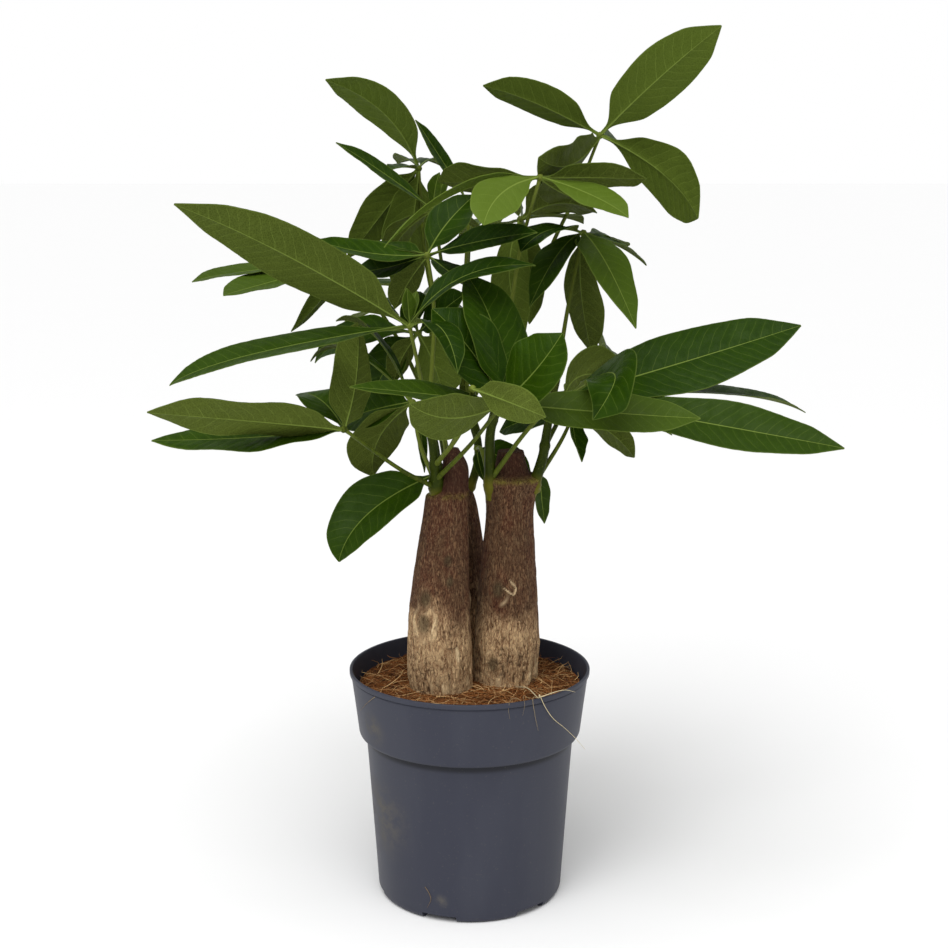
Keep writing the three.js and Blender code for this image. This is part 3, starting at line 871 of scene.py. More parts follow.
def rounded(corners: Sequence[Sequence[float]], steps: int = 4) -> Array:
    """A profile with its corners eased.

    Each corner becomes a quadratic curve between points on the two sides beside it, at its own reach or at
    half of the side where that is shorter.

    Args:
        corners: rows of radius, height and reach.
        steps: the stretches of each eased corner.

    Returns:
        Rows of radius and height.
    """
    table = np.asarray(corners, float)
    spot, reach = table[:, :2], table[:, 2]
    before, after = np.roll(spot, 1, axis=0), np.roll(spot, -1, axis=0)
    back, ahead = before - spot, after - spot
    room = [np.linalg.norm(side, axis=1) / 2.02 for side in (back, ahead)]
    start = spot + unit(back) * np.minimum(reach, room[0])[:, None]
    end = spot + unit(ahead) * np.minimum(reach, room[1])[:, None]
    t = np.linspace(0, 1, steps + 1)[None, :, None]
    eased = start[:, None] * (1 - t) ** 2 + 2 * spot[:, None] * t * (1 - t) + end[:, None] * t**2
    eased[0], eased[-1] = spot[0], spot[-1]
    return np.concatenate([eased[0, :1], eased[1:-1].reshape(-1, 2), eased[-1, :1]])


def turned(profile: Array, angles: Array) -> Array:
    """A profile of radius and height carried round the upright axis, one column for each angle in radians."""
    radius, height = profile[:, :1], profile[:, 1:]
    return points_of(radius * np.cos(angles), radius * np.sin(angles), height)


@dataclass
class Pot:
    """The thin-walled grower's pot: a lip, a wide collar, a stepped body and a foot with drain notches."""

    rim_radius: float = 85.6
    height: float = 165.8
    wall: float = 1.6
    lip_height: float = 3.6
    overhang: float = 1.3
    groove_height: float = 1.4
    groove_depth: float = 0.5
    collar_top: float = 84.2
    collar_foot: float = 79.2
    collar_height: float = 120.6
    body_top: float = 74.2
    body_foot: float = 66.0
    collar_step: float = 1.6
    foot_rounding: float = 4.0
    recess: float = 3.0
    pad_radius: float = 15.0
    ring_width: float = 8.0
    notch_count: int = 6
    notch_width: float = 25.0
    notch_height: float = 4.6
    notch_depth: float = 13.0
    notch_first: float = -109.0
    hole_radius: float = 5.0
    hole_ring: float = 34.0
    cutter_span: tuple[float, float] = (-3, 12)
    sides: int = 180

    @property
    def step(self) -> float:
        """The height where the body meets the collar's underside."""
        return self.collar_height - self.collar_step

    @property
    def lip(self) -> float:
        """The height of the lip's lower edge."""
        return self.height - self.lip_height

    def body_radius(self, height: float) -> float:
        """The body's outer radius at a height."""
        return self.body_foot + (self.body_top - self.body_foot) * height / self.collar_height

    def outer_radius(self, height: Array) -> Array:
        """The outer radius at each height, collar and lip among them.

        Args:
            height: the heights above the floor.

        Returns:
            The radius at each height.
        """
        heights = [0, self.step - 0.1, self.step, self.lip - 0.1, self.lip]
        radii = [self.body_foot, self.body_top, self.collar_foot, self.collar_top, self.rim_radius]
        return np.interp(height, heights, radii)

    def inside(self) -> list[list[float]]:
        """The corners of the inner wall and floor, from the axis outwards and up.

        Returns:
            Rows of radius, height and reach.
        """
        floor = self.recess + self.wall + 0.4
        shoulder = self.step + self.wall
        return [
            [0.4, floor, 0],
            [self.body_foot - self.wall - 3, floor, 3],
            [self.body_radius(14) - self.wall, 12, 3],
            [self.body_top - self.wall, shoulder - 2, 2],
            [self.collar_foot - self.wall, shoulder + 3, 2],
            [self.collar_top - self.wall, self.lip - 1, 2],
        ]

    def profile(self) -> Array:
        """The whole outline: under the foot, up the outside, over the lip and down the inside.

        Returns:
            Rows of radius and height.
        """
        foot = self.body_foot - self.foot_rounding
        ring = foot - self.ring_width
        outside = [
            [0.4, 0, 0],
            [self.pad_radius, 0, 0.6],
            [self.pad_radius + 1.5, self.recess, 0.6],
            [ring - 1.5, self.recess, 0.6],
            [ring, 0, 0.6],
            [self.body_foot + 0.1, 0, self.foot_rounding * 1.15],
            *([self.body_radius(height), height, 1] for height in (30, 60, 90)),
            [self.body_top, self.step, 1.6],
            [self.collar_foot - 0.9, self.step, 0.5],
            [self.collar_foot, self.collar_height, 1.0],
            [(self.collar_foot + self.collar_top) / 2, (self.collar_height + self.lip) / 2, 1],
            [self.collar_top, self.lip - self.groove_height, 0.3],
            [self.collar_top - self.groove_depth, self.lip - 0.3, 0.3],
            [self.collar_top + self.overhang, self.lip + 0.3, 0.5],
            [self.rim_radius, self.height, 0.9],
            [self.rim_radius - 2, self.height, 0.8],
        ]
        return rounded(outside + self.inside()[::-1])

    def sheet(self) -> Sheet:
        """The outline carried round the axis, lifted off the floor wherever a drain notch is.

        Returns:
            The sheet, which has no marks.
        """
        half = np.arcsin(self.notch_width / 2 / self.body_foot)
        middles = radians(self.notch_first) + 2 * pi * np.arange(self.notch_count) / self.notch_count
        edges = (middles[:, None] + half * np.array([-1.004, -0.996, 0.996, 1.004])).ravel()
        angles = np.unique(np.mod(np.concatenate([turns(self.sides), edges]), 2 * pi))
        points = turned(self.profile(), angles)
        off = np.abs(turned_from(angles[:, None], middles)).min(axis=1)
        outer = np.hypot(points[..., 0], points[..., 1]) > self.body_foot - self.notch_depth
        in_notch = (off < half)[None, :] & outer
        points[..., 2] = np.where(in_notch, np.maximum(points[..., 2], self.notch_height), points[..., 2])
        return Sheet(points)

    def drill(self, pot: bpy.types.Object) -> None:
        """Cuts the drain holes through the floor with round cutters on one ring, and drops the cutters.

        Args:
            pot: the pot's object, whose mesh gives way to the drilled one.
        """
        cutter = turned(np.array([[self.hole_radius, z] for z in self.cutter_span]), turns(24))
        cutters = Piece("drain_cutters", "pot")
        for turn in turns(self.notch_count) + pi / self.notch_count:
            cutters.sheets.append(Sheet(cutter + self.hole_ring * np.array([cos(turn), sin(turn), 0])))
        tool = cutters.make([])
        cut = pot.modifiers.new("drain_holes", "BOOLEAN")
        cut.operation, cut.object, cut.solver = "DIFFERENCE", tool, "EXACT"
        drilled = bpy.data.meshes.new_from_object(pot.evaluated_get(bpy.context.evaluated_depsgraph_get()))
        pot.modifiers.clear()
        pot.data = drilled
        bpy.data.objects.remove(tool, do_unlink=True)

    def build(self) -> None:
        """Makes the pot in its plastic."""
        pot = Piece("grower_pot", "pot", ["pot"], 32, [self.sheet()]).make([PotFinish().make()])
        self.drill(pot)


@dataclass
class Trunk:
    """One bottle-shaped trunk with fissured bark, knots and flaking cork at its foot.

    Its rings are rows of height, x, y and radius; its knots of angle, height and size; its peels of angle,
    height, half width, half length and lean. A grain is the offset of its seed, how many of its hills go
    round the trunk, how tall they are in mm, and its layers; an end is the pair of heights between which
    something fades out.
    """

    node: str
    seed: int
    rings: Sequence[Sequence[float]]
    knots: Sequence[tuple[float, float, float]] = ()
    peels: Sequence[tuple[float, float, float, float, float]] = ()
    tan_height: float = 212
    shoulder: float = 400
    lobe: float = 0.03
    waves: Sequence[int] = (2, 3, 5)
    twist: float = 0.03
    columns: int = 168
    rows: int = 210
    row_crowding: float = 0.92
    knot_squash: float = 0.72
    furrow_grain: tuple[int, int, float, int] = (0, 76, 8, 2)
    lump_grain: tuple[int, int, float, int] = (40, 11, 26, 3)
    ragged_grain: tuple[int, int, float, int] = (60, 7, 22, 3)
    plate_grain: tuple[int, int, float, int] = (80, 26, 17, 2)
    splinter_grain: tuple[int, int, float, int] = (95, 34, 15, 3)
    splinter_mark: float = 0.62
    splinter_end: tuple[float, float] = (158, 190)
    flake_end: tuple[float, float] = (160, 215)
    curl_end: tuple[float, float] = (212, 228)

    def swell(self, angle: Array, height: Array) -> Array:
        """How far the trunk bulges at each angle: three waves round it, which turn a little as they rise.

        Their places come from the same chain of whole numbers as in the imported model: each is the one before
        times 1664525, plus 1013904223, in 32 bits.

        Args:
            angle: the angles round the trunk.
            height: the heights.

        Returns:
            A factor on the radius, about 1.
        """
        state, draws = self.seed, []
        for _ in range(2 * len(self.waves)):
            state = (state * 1664525 + 1013904223) % 2**32
            draws.append(state / 2**32)
        total = np.ones(np.broadcast_shapes(angle.shape, height.shape))
        for count, turn, twist in zip(self.waves, draws[::2], draws[1::2], strict=True):
            phase = 2 * pi * turn + self.twist * (twist - 0.5) * height
            total = total + self.lobe / count * np.sin(count * angle + phase)
        return total

    def knot_marks(self, angle: Array, z: Array, radius: Array) -> tuple[Array, Array, Array]:
        """The knots: each is a round boss with a dished middle and a few rings about it.

        Args:
            angle: the angles round the trunk.
            z: the heights.
            radius: the trunk's radius at those heights.

        Returns:
            How far the knots stand out in mm, their scars, and the curl of torn cork round each.
        """
        boss, scar, curl = (np.zeros(np.broadcast_shapes(angle.shape, z.shape)) for _ in range(3))
        for turn, at, size in self.knots:
            near = np.hypot(turned_from(angle, radians(turn)) * radius, (z - at) * self.knot_squash) / size
            boss += bell(near) * (1.1 + 0.25 * np.cos(9 * near)) - 0.9 * bell(near, 0, 0.35)
            scar = np.maximum(scar, fall(near, 0.3, 1.1))
            curl = np.maximum(curl, 0.55 * bell(near, 1.3, 0.16))
        return boss, scar, curl

    def sheet(self) -> Sheet:
        """The bark's surface.

        The trunk's middle and radius run smoothly through its rings; radius x swell gives the wood, and on it
        stand upright furrows (one less the size of stretched noise, sharpened), cork flakes that grow towards
        the foot, round knots and peeled strips.

        Returns:
            The sheet with five marks: relief is the bark's own height, age runs from 0.1 on young bark to 1 at
                the foot and drops by 1 on the stub above the collar, which the bark finish paints dark with
                painted shade, scar marks the knots, peel the pale strips and splinters, and rim the collar's
                line.
        """
        table = np.asarray(self.rings, float)
        low, high = table[0, 0], table[-1, 0]
        height = low + (high - low) * np.linspace(0, 1, self.rows + 1) ** self.row_crowding
        x, y, radius = (part[:, None] for part in through(table, height).T)
        angle, z = turns(self.columns)[None, :], height[:, None]

        def grain(offset: int, count: int, tall: float, layers: int) -> Array:
            """Seeded hills on the bark, count of them round the trunk and each tall mm high."""
            return Grain(self.seed + offset).layers(angle / (2 * pi) * count, z / tall, count, layers)

        wood = radius * self.swell(angle, z)
        ridge = np.clip(1 - np.abs(grain(*self.furrow_grain)) * 2.4, 0, 1) ** 1.3
        lump = grain(*self.lump_grain)
        ragged = 16 * grain(*self.ragged_grain)
        down = 1.5 * ragged - z + self.tan_height
        # The stub above the collar, which the bark finish darkens with painted shade.
        shaded_stub = ease(z, self.shoulder, self.shoulder + 5)
        age = 0.1 + 0.48 * ease(down, -20, 16) + 0.42 * ease(down, 0, 52) - shaded_stub
        plates = grain(*self.plate_grain)
        flake = np.clip(plates, -0.2, 0.35) * fall(z, *self.flake_end)
        rim = bell(z, self.shoulder - 0.8, 1.7) * np.clip(0.45 + 1.6 * lump, 0, 1)
        boss, scar, curl = self.knot_marks(angle, z, radius)
        curl = curl * (0.3 + 2.6 * plates) * fall(z, *self.curl_end)
        splinter = ease(grain(*self.splinter_grain) - ease(z + ragged, *self.splinter_end), -0.06, 0.3)
        peel = np.clip(np.maximum(curl, self.splinter_mark * splinter), 0, 1)
        for turn, at, wide, tall, lean in self.peels:
            off = turned_from(angle, radians(turn)) * radius + (z - at) * lean
            peel = np.maximum(peel, fall(np.hypot(off / wide, (z - at) / tall), 0.75, 1.0))
        furrow = 0.55 - ridge
        skin = 0.55 * furrow * (0.7 + 0.6 * age) + 0.8 * lump + 1.8 * flake
        out = wood + skin * fall(z, high - 7, high) + boss + 0.9 * peel - 0.35
        relief = 0.75 * furrow + 0.15 * lump + flake
        marks = {"relief": relief, "age": age, "scar": scar, "peel": peel, "rim": rim}
        return Sheet(points_of(x + out * np.cos(angle), y + out * np.sin(angle), z), marks)

    def build(self, bark: bpy.types.Material) -> None:
        """Makes the trunk in its bark."""
        Piece(self.node.replace("trunk_", "bark_"), "bark", [self.node], 75, [self.sheet()]).make([bark])


@dataclass(frozen=True)
class Tangle:
    """Many short fibres laid on a surface by seeded chance."""

    count: int
    seed: int
    length: tuple[float, float] = (7, 24)
    width: float = 0.2
    lift: float = 1.6
    standing: float = 0.08
    segments: int = 5
    sides: int = 3

    def sheets(self, ground: Callable[[Array, Array], Array], reach: float) -> list[Sheet]:
        """The fibres, each a three-sided tube that curls as it runs.

        A fibre starts at a chance place on the disc and turns steadily from a chance heading; its height is
        the ground's, plus its own arch sin(pi t), plus a rise for the few that stand up. All of them are
        worked out at once.

        Args:
            ground: the height of the ground at each x and y.
            reach: the radius of the disc in mm.

        Returns:
            A sheet for each fibre.
        """
        chance = np.random.default_rng(self.seed)
        n = self.count
        away = reach * np.sqrt(chance.uniform(0, 1, n))
        turn = chance.uniform(0, 2 * pi, n)
        heading = chance.uniform(0, 2 * pi, n)
        bend = chance.normal(0, 1.5, n)
        length = chance.uniform(*self.length, n)
        t = np.linspace(0, 1, self.segments + 1)
        course = heading[:, None] + bend[:, None] * t
        stride = (length / self.segments)[:, None]
        x = (away * np.cos(turn))[:, None] + np.cumsum(np.cos(course) * stride, axis=1)
        y = (away * np.sin(turn))[:, None] + np.cumsum(np.sin(course) * stride, axis=1)
        limit = np.minimum(1, (reach - 0.2) / np.maximum(np.hypot(x, y), 1e-6))
        x, y = x * limit, y * limit
        arch = chance.uniform(0.1, 1, n)[:, None] * self.lift * np.sin(pi * t)
        rise = (chance.uniform(0, 1, n) < self.standing)[:, None] * chance.uniform(2, 8, n)[:, None] * t**1.4
        centres = points_of(x, y, ground(x, y) + 0.1 + arch + rise)
        along = unit(np.gradient(centres, axis=1))
        side = unit(np.cross(along, [0.05, 0.1, 1.0]))
        other = np.cross(along, side)
        angle = turns(self.sides)[:, None]
        ring = side[:, :, None] * np.cos(angle) + other[:, :, None] * np.sin(angle)
        thick = self.width * chance.uniform(0.6, 1.5, n)[:, None] * (1.1 - 0.6 * t)
        points = centres[:, :, None] + thick[..., None, None] * ring
        shades = np.clip(chance.normal(0.42, 0.24, n) + 0.3 * (rise[:, -1] > 0), 0, 1)
        pairs = zip(points, shades, strict=True)
        return [Sheet(each, {"shade": np.array([[shade]])}) for each, shade in pairs]


# Thin roots on the wall: their start off the long root's bend, if any, dots, stand-off, width and shade
CLINGING_ROOTS = [
    ([-1, 0, 0.2], [(39.5, -149), (40.5, -160), (42.8, -171)], 0.9, 0.2, 0.5),
    ([-12, -2, -0.6], [(25, -150), (23, -156.5), (24, -163.5)], 0.8, 0.15, 0.3),
    ([-6, -1, -0.4], [(33, -148), (33.8, -154), (32.4, -161)], 0.8, 0.15, 0.3),
    ([], [(-32.6, -275.3), (-30.2, -279), (-28.7, -283.3), (-29.6, -286), (-31.3, -289.3)], 0.5, 0.24, 0.0),
    ([], [(-66, -148.6), (-69, -150.8), (-71.8, -153.2), (-76, -157.8)], 0.9, 0.18, 0.2),
]


@dataclass
class Soil:
    """The coir in the pot: a heaped, crumbly top, fibres lying on it, and roots that hang over the rim."""

    pot: Pot
    height: float = 152.5
    crown: float = 2.5
    gap: float = 0.3
    reach: float = 79.2
    columns: int = 240
    rings: int = 66

    def ground(self, x: Array, y: Array) -> Array:
        """The height of the soil: a low heap in the middle, with crumbs and lumps on it.

        Args:
            x: the places across.
            y: the places in depth.

        Returns:
            The height at each place.
        """
        away = np.hypot(x, y) / self.reach
        lumps = Grain(7).layers(x / 9 + 60, y / 9 + 60, 0, 3)
        crumbs = Grain(8).layers(x / 2.4 + 90, y / 2.4 + 90, 0, 2)
        return self.height + self.crown * (1 - away**2) + 1.3 * lumps + 0.45 * crumbs

    def sheet(self) -> Sheet:
        """The body of the soil: the pot's inside less a gap, with the ground as its top.

        Returns:
            The sheet, which has no marks.
        """
        inside = self.pot.inside()[:-1]
        wall = [[r - (self.gap if r > 1 else 0), z + (self.gap if z < 10 else 0), 1] for r, z, _ in inside]
        wall.append([self.reach, self.height - 1.5, 1])
        angles = turns(self.columns)
        rings = self.reach * np.linspace(1, 0.006, self.rings)[:, None]
        x, y = rings * np.cos(angles), rings * np.sin(angles)
        return Sheet(np.concatenate([turned(rounded(wall, 2), angles), points_of(x, y, self.ground(x, y))]))

    def strand(self, knots: Sequence, width: float, shade: float, steps: int = 26) -> Sheet:
        """One long root or fibre through places in the frame, thinner towards its tip."""
        return tube(np.asarray(knots, float), steps, 5, lambda t: width * (1 - 0.75 * t), {"shade": shade})

    def over_rim(self, view: Viewpoint, dots: Sequence[tuple[float, float]], stand_off: float) -> Array:
        """Places on the outside of the pot that are seen at dots of the picture plane.

        The depth is minus the square root of the wall's radius squared less x squared, less the stand-off,
        and is worked out again a few times because the radius depends on the height found.

        Args:
            view: the viewpoint.
            dots: across and up, in mm on the picture plane.
            stand_off: how far in front of the wall they are.

        Returns:
            Rows of x, y and z.
        """
        depth = np.full(len(dots), -80.0)
        for _ in range(8):
            spot = view.place(np.column_stack([dots, depth]))
            wall = self.pot.outer_radius(spot[:, 2])
            depth = -np.sqrt(np.maximum(wall**2 - spot[:, 0] ** 2, 25)) - stand_off
        return view.place(np.column_stack([dots, depth]))

    def build(self, view: Viewpoint) -> None:
        """Makes the soil, its fibres, and the strands over the rim.

        Args:
            view: the viewpoint.
        """
        Piece("coir_soil", "soil", ["soil"], 80, [self.sheet()]).make([CoirFinish().make()])
        fibres = Tangle(count=3000, seed=3).sheets(self.ground, self.reach - 0.8)
        Piece("coir_fibres", "soil", sharp_degrees=80, sheets=fibres).make([FibreFinish().make()])
        self.build_strands(view)

    def build_strands(self, view: Viewpoint) -> None:
        """Makes the long pale roots that lie over the rim and cling to the wall.

        Args:
            view: the viewpoint that their places are written from.
        """
        start, rim = view.place([[28.5, -130.5, -20], [43.5, -142.7, -72]])
        start[2], rim[2] = self.height + 4, self.pot.height + 0.6
        middle = (start + rim) / 2 + np.array([0, 0, 3.0])
        hang = self.over_rim(view, [(43.5, -147), (47, -154.5), (52.3, -162.5), (60, -169)], 1.8)
        air = view.place([[67.5, -176, -64], [74, -183.5, -62]])
        tail = view.place([[60, -144, -58], [67.5, -145.4, -52]])
        tail[:, 2] = np.maximum(tail[:, 2], self.pot.height - 3)
        sheets = [
            self.strand([start, middle, rim, *hang, *air], 0.42, 0.9, 34),
            self.strand([rim + [0, 0, 0.5], *tail], 0.34, 0.95),
        ]
        for off, dots, stand_off, width, shade in CLINGING_ROOTS:
            knots = self.over_rim(view, dots, stand_off)
            sheets.append(self.strand([rim + off, *knots] if off else knots, width, shade))
        shades = colour(128, 106, 76), colour(182, 162, 122), colour(216, 202, 164)
        pale = FibreFinish("pale_root", *shades).make()
        Piece("pale_strands", "soil", sharp_degrees=80, sheets=sheets).make([pale])


class Age(Enum):
    """A leaflet's age: the part of young green in its colour. A few leaflets are given an age for their
    brightness alone, as painted light or painted shade.
    """

    DEEP = 0.0
    GROWN = 0.12
    FRESH = 0.45
    YOUNG = 0.95


class Outline(Enum):
    """A leaflet's outline: stations of the part of its length and the part of its full width."""

    LONG = ((0, 0.05), (0.07, 0.055), (0.3, 0.76), (0.56, 1), (0.82, 0.66), (0.94, 0.24), (1, 0.02))
    BROAD = ((0, 0.05), (0.07, 0.06), (0.3, 0.68), (0.62, 1), (0.84, 0.76), (0.94, 0.34), (1, 0.02))
    OVAL = ((0, 0.05), (0.06, 0.07), (0.26, 0.78), (0.52, 1), (0.8, 0.72), (0.93, 0.3), (1, 0.02))
    EGG = ((0, 0.05), (0.045, 0.1), (0.2, 0.78), (0.45, 1), (0.78, 0.72), (0.93, 0.32), (1, 0.02))
    TAPER = ((0, 0.05), (0.05, 0.08), (0.22, 0.84), (0.46, 1), (0.8, 0.58), (0.93, 0.22), (1, 0.02))
    PLAIN = ((0, 0.05), (0.08, 0.07), (0.38, 0.9), (0.58, 1), (0.82, 0.68), (0.94, 0.24), (1, 0.02))


def both_faces(upper: Array, lower: Array) -> Array:
    """Rings round a blade: from the left margin to the right one on the upper face, and back on the lower."""
    return np.concatenate([upper, lower[:, ::-1]], axis=1)


@dataclass(frozen=True)
class Blade:
    """A leaflet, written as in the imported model: its tip, a place on the way, its width and its tilt."""

    tip: Sequence[float]
    way: Sequence[float]
    width: float
    tilt: float
    age: Age = Age.GROWN
    outline: Outline = Outline.LONG
    fold: float = 13.0
    wave: float = 1.0
    thickness: float = 0.42
    vein_spacing: float = 8.0
    row_length: float = 2.4
    cells: int = 14
    crowding: float = 1.35
    rib_width: float = 0.9
    groove_width: float = 0.6
    stalk_part: float = 0.055

    def across(self, view: Viewpoint, foot: Array, middle: Array, tip: Array) -> Array:
        """The direction across the blade: square to its chord and to the way its upper face looks.

        At a tilt of 0 that face looks at the viewpoint, at 90 up, and past 90 the underside shows.

        Args:
            view: the viewpoint.
            foot: the blade's foot.
            middle: the middle of its midrib.
            tip: its tip.

        Returns:
            The direction, of length 1.
        """
        chord = unit(tip - foot)
        eye = view.eye - middle
        eye = unit(eye - chord * (eye @ chord))
        beside = np.cross(eye, chord)
        lift = 1 if beside[2] >= 0 else -1
        facing = eye * cos(radians(self.tilt)) + beside * (lift * sin(radians(self.tilt)))
        return np.cross(chord, facing)

    def ripple(self, t: Array, s: Array, chance: np.random.Generator) -> Array:
        """The margin's waves as parts of the half width: two sines a side, which start by chance.

        Args:
            t: the part of the way along the blade.
            s: the part of the half width, from -1 to 1.
            chance: what the starts are drawn from.

        Returns:
            The wave at each t and s.
        """
        start = chance.uniform(0, 2 * pi, 4)
        left = 0.05 * np.sin(2 * pi * 2.2 * t + start[0]) + 0.045 * np.sin(2 * pi * 0.9 * t + start[2])
        right = 0.05 * np.sin(2 * pi * 1.9 * t + start[1]) + 0.045 * np.sin(2 * pi * 1.1 * t + start[3])
        return self.wave * np.where(s < 0, left, right)

    def sheet(self, view: Viewpoint, hub: Sequence[float], seed: int) -> Sheet:
        """The blade as a closed body of two faces.

        The midrib is the quadratic curve from the hub through the way to the tip. Across it a point stands at
        half x part(t) x s, where s runs from -1 to 1; the face rises from the midrib by the fold, falls again
        towards the margin, and carries the margin's waves, growing as s squared, and cushions between the
        side veins. Below, a round rib stands along the middle. Near the hub the blade thickens to a round
        stalk.

        Args:
            view: the viewpoint that the places are written from.
            hub: where the leaf stalk ends, as seen.
            seed: what its chances are drawn from.

        Returns:
            The sheet with the marks vein, rib, edge, along, below, youth and shade.
        """
        chance = np.random.default_rng(seed)
        foot, way, tip = view.place([hub, self.way, self.tip])
        control = 2 * way - (foot + tip) / 2
        length = float(np.linalg.norm(tip - foot))
        rows = int(np.clip(length / self.row_length, 18, 72))
        t = np.linspace(0, 1, rows + 1)[:, None]
        centre = (1 - t) ** 2 * foot + 2 * t * (1 - t) * control + t**2 * tip
        along = unit(2 * (1 - t) * (control - foot) + 2 * t * (tip - control))
        across = self.across(view, foot, centre[rows // 2], tip)
        side = unit(across - along * (along @ across)[:, None])
        face = np.cross(side, along)
        part = through(self.outline.value, t[:, 0])
        half = np.maximum(self.width * part / 2, 0.25)
        u = np.linspace(-1, 1, self.cells + 1)[None, :]
        s = np.sign(u) * np.abs(u) ** self.crowding
        size = np.abs(s)
        away = size * half
        count = max(4, length / self.vein_spacing)
        vein = count * t - (0.55 * away + 0.35 * away**2 / (self.width / 2)) * count / length
        cushion = 0.5 - 0.5 * np.cos(2 * pi * vein)
        pucker = Grain(seed).layers(s * 2.5 + 0 * t, t * length / 11, 0, 2)
        swell = (0.24 * cushion + 0.5 * pucker) * ease(part, 0.15, 0.6)
        swell = swell * np.clip(4 * size * (1.15 - size), 0, 1)
        slope = radians(self.fold)
        rise = away * (sin(slope) - 0.06 * size) + self.ripple(t, s, chance) * half * s**2 + swell
        stalk = bell(t, 0, self.stalk_part)
        thick = self.thickness / 2 + 0.75 * stalk * (1 - 0.5 * size)
        rib = (0.25 + 0.75 * (1 - t)) * bell(away, 0, self.rib_width)
        groove = 0.25 * (1 - t) * bell(away, 0, self.groove_width) * (1 - stalk)
        flat = centre[:, None] + side[:, None] * (half * s * cos(slope))[..., None]
        upper = flat + face[:, None] * (rise + thick - groove)[..., None]
        lower = flat + face[:, None] * (rise - thick - rib)[..., None]
        marks = {
            "vein": both_faces(vein, vein),
            "rib": both_faces(s * half, s * half),
            "edge": both_faces(half - away, half - away),
            "along": t,
            "below": both_faces(0 * away, 0 * away + 1),
            "youth": np.array([[np.clip(self.age.value + chance.normal(0, 0.04), 0, 1)]]),
            "shade": np.array([[chance.uniform(0, 1)]]),
        }
        return Sheet(both_faces(upper, lower), marks, finish=1)


@dataclass(frozen=True)
class Leaf:
    """A hand of leaflets: where its stalk leaves the stem, its hub, the stalk's way down, and its blades."""

    joint: float
    hub: Sequence[float]
    way: Sequence[Sequence[float]]
    blades: Sequence[Blade]
    stalk_radius: tuple[float, float] = (1.75, 1.1)

    def sheets(self, view: Viewpoint, stem: Array, seed: int) -> list[Sheet]:
        """The leaf's stalk, swollen at both ends, the knob that its leaflets spring from, and the leaflets.

        Args:
            view: the viewpoint that the places are written from.
            stem: the stem's knots in the frame.
            seed: what its chances are drawn from.

        Returns:
            The sheets.
        """
        foot, _ = smooth_path(stem, np.array([self.joint]))
        hub = view.place([self.hub])
        knots = np.concatenate([foot, view.place(self.way)[::-1], hub])
        shade = float(np.random.default_rng(seed).uniform(0, 1))
        length = float(np.linalg.norm(np.diff(knots, axis=0), axis=1).sum())
        foot_radius, tip_radius = self.stalk_radius

        def radius(t: Array) -> Array:
            """Even taper, swollen within a few millimetres of both ends."""
            ends = 0.45 * np.exp(-t * length / 5) + 0.35 * np.exp(-(1 - t) * length / 4)
            return (foot_radius + (tip_radius - foot_radius) * t) * (1 + ends)

        stalk = tube(knots, max(10, int(length / 4)), 10, radius, {"shade": shade})
        heading = unit(knots[-1] - knots[-2])
        ends = hub + heading * np.array([[-2.6], [-0.4], [1.9]])
        knob = tube(ends, 8, 10, lambda t: 0.5 + 2.1 * np.sin(pi * (0.12 + 0.76 * t)), {"shade": shade})
        made = [blade.sheet(view, self.hub, seed * 37 + i) for i, blade in enumerate(self.blades)]
        return [stalk, knob, *made]


@dataclass(frozen=True)
class Shoot:
    """A leafy shoot of one trunk: its green stem and its leaves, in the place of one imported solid."""

    node: str
    stem_radius: Sequence[float]
    stem: Sequence[Sequence[float]]
    leaves: Sequence[Leaf]

    def stem_sheets(self, knots: Array) -> list[Sheet]:
        """The stem, swollen at its foot and at each joint, and the pointed bud at its top.

        Args:
            knots: the stem's knots in the frame.

        Returns:
            The sheets of the stem and the bud.
        """
        foot, tip = self.stem_radius
        joints = np.array([leaf.joint for leaf in self.leaves])

        def radius(t: Array) -> Array:
            """Even taper, plus a collar at the foot and a low swelling under each leaf stalk.

            Args:
                t: the part of the way up the stem.

            Returns:
                The radius there.
            """
            knees = bell(t[:, None], joints, 0.03).max(axis=1)
            end = np.sqrt(np.clip(1 - np.clip((t - 0.97) / 0.04, 0, 1) ** 2, 0.1, 1))
            return (foot + (tip - foot) * t) * (1 + 0.22 * knees + 0.175 * bell(t, 0.14, 0.05)) * end

        stem = tube(knots, 46, 14, radius, {"stem": 1.0})
        top, heading = smooth_path(knots, np.array([0.985]))
        bud = np.concatenate([top, top + heading * 4, top + heading * 8 + [0.6, -0.4, 0]])
        tuft = tube(bud, 8, 8, lambda t: tip * 0.8 * np.clip(1 - t, 0.06, 1) ** 0.7, {"shade": 1.0})
        return [stem, tuft]

    def build(self, view: Viewpoint, seed: int, finishes: Sequence[bpy.types.Material]) -> None:
        """Makes the shoot as one piece with two finishes.

        Args:
            view: the viewpoint.
            seed: what its chances are drawn from.
            finishes: the stalk's first and the blade's second.
        """
        knots = view.place(self.stem)
        sheets = self.stem_sheets(knots)
        for i, leaf in enumerate(self.leaves):
            sheets += leaf.sheets(view, knots, seed * 100 + i)
        name = self.node.replace("shoot_", "leafy_shoot_")
        Piece(name, "leaf", [self.node], 50, sheets).make(finishes)


@dataclass(frozen=True)
class Lamp:
    """A soft box: where it stands and what it looks at in metres, its width, and its power in watts."""

    name: str
    spot: tuple[float, float, float]
    aim: tuple[float, float, float]
    width: float
    watts: float

    def build(self) -> None:
        """Makes the light."""
        data = bpy.data.lights.new(self.name, "AREA")
        data.shape, data.size, data.energy = "SQUARE", self.width, self.watts
        made = put(self.name, data)
        made.location = self.spot
        made.rotation_euler = (Vector(self.aim) - Vector(self.spot)).to_track_quat("-Z", "Y").to_euler()


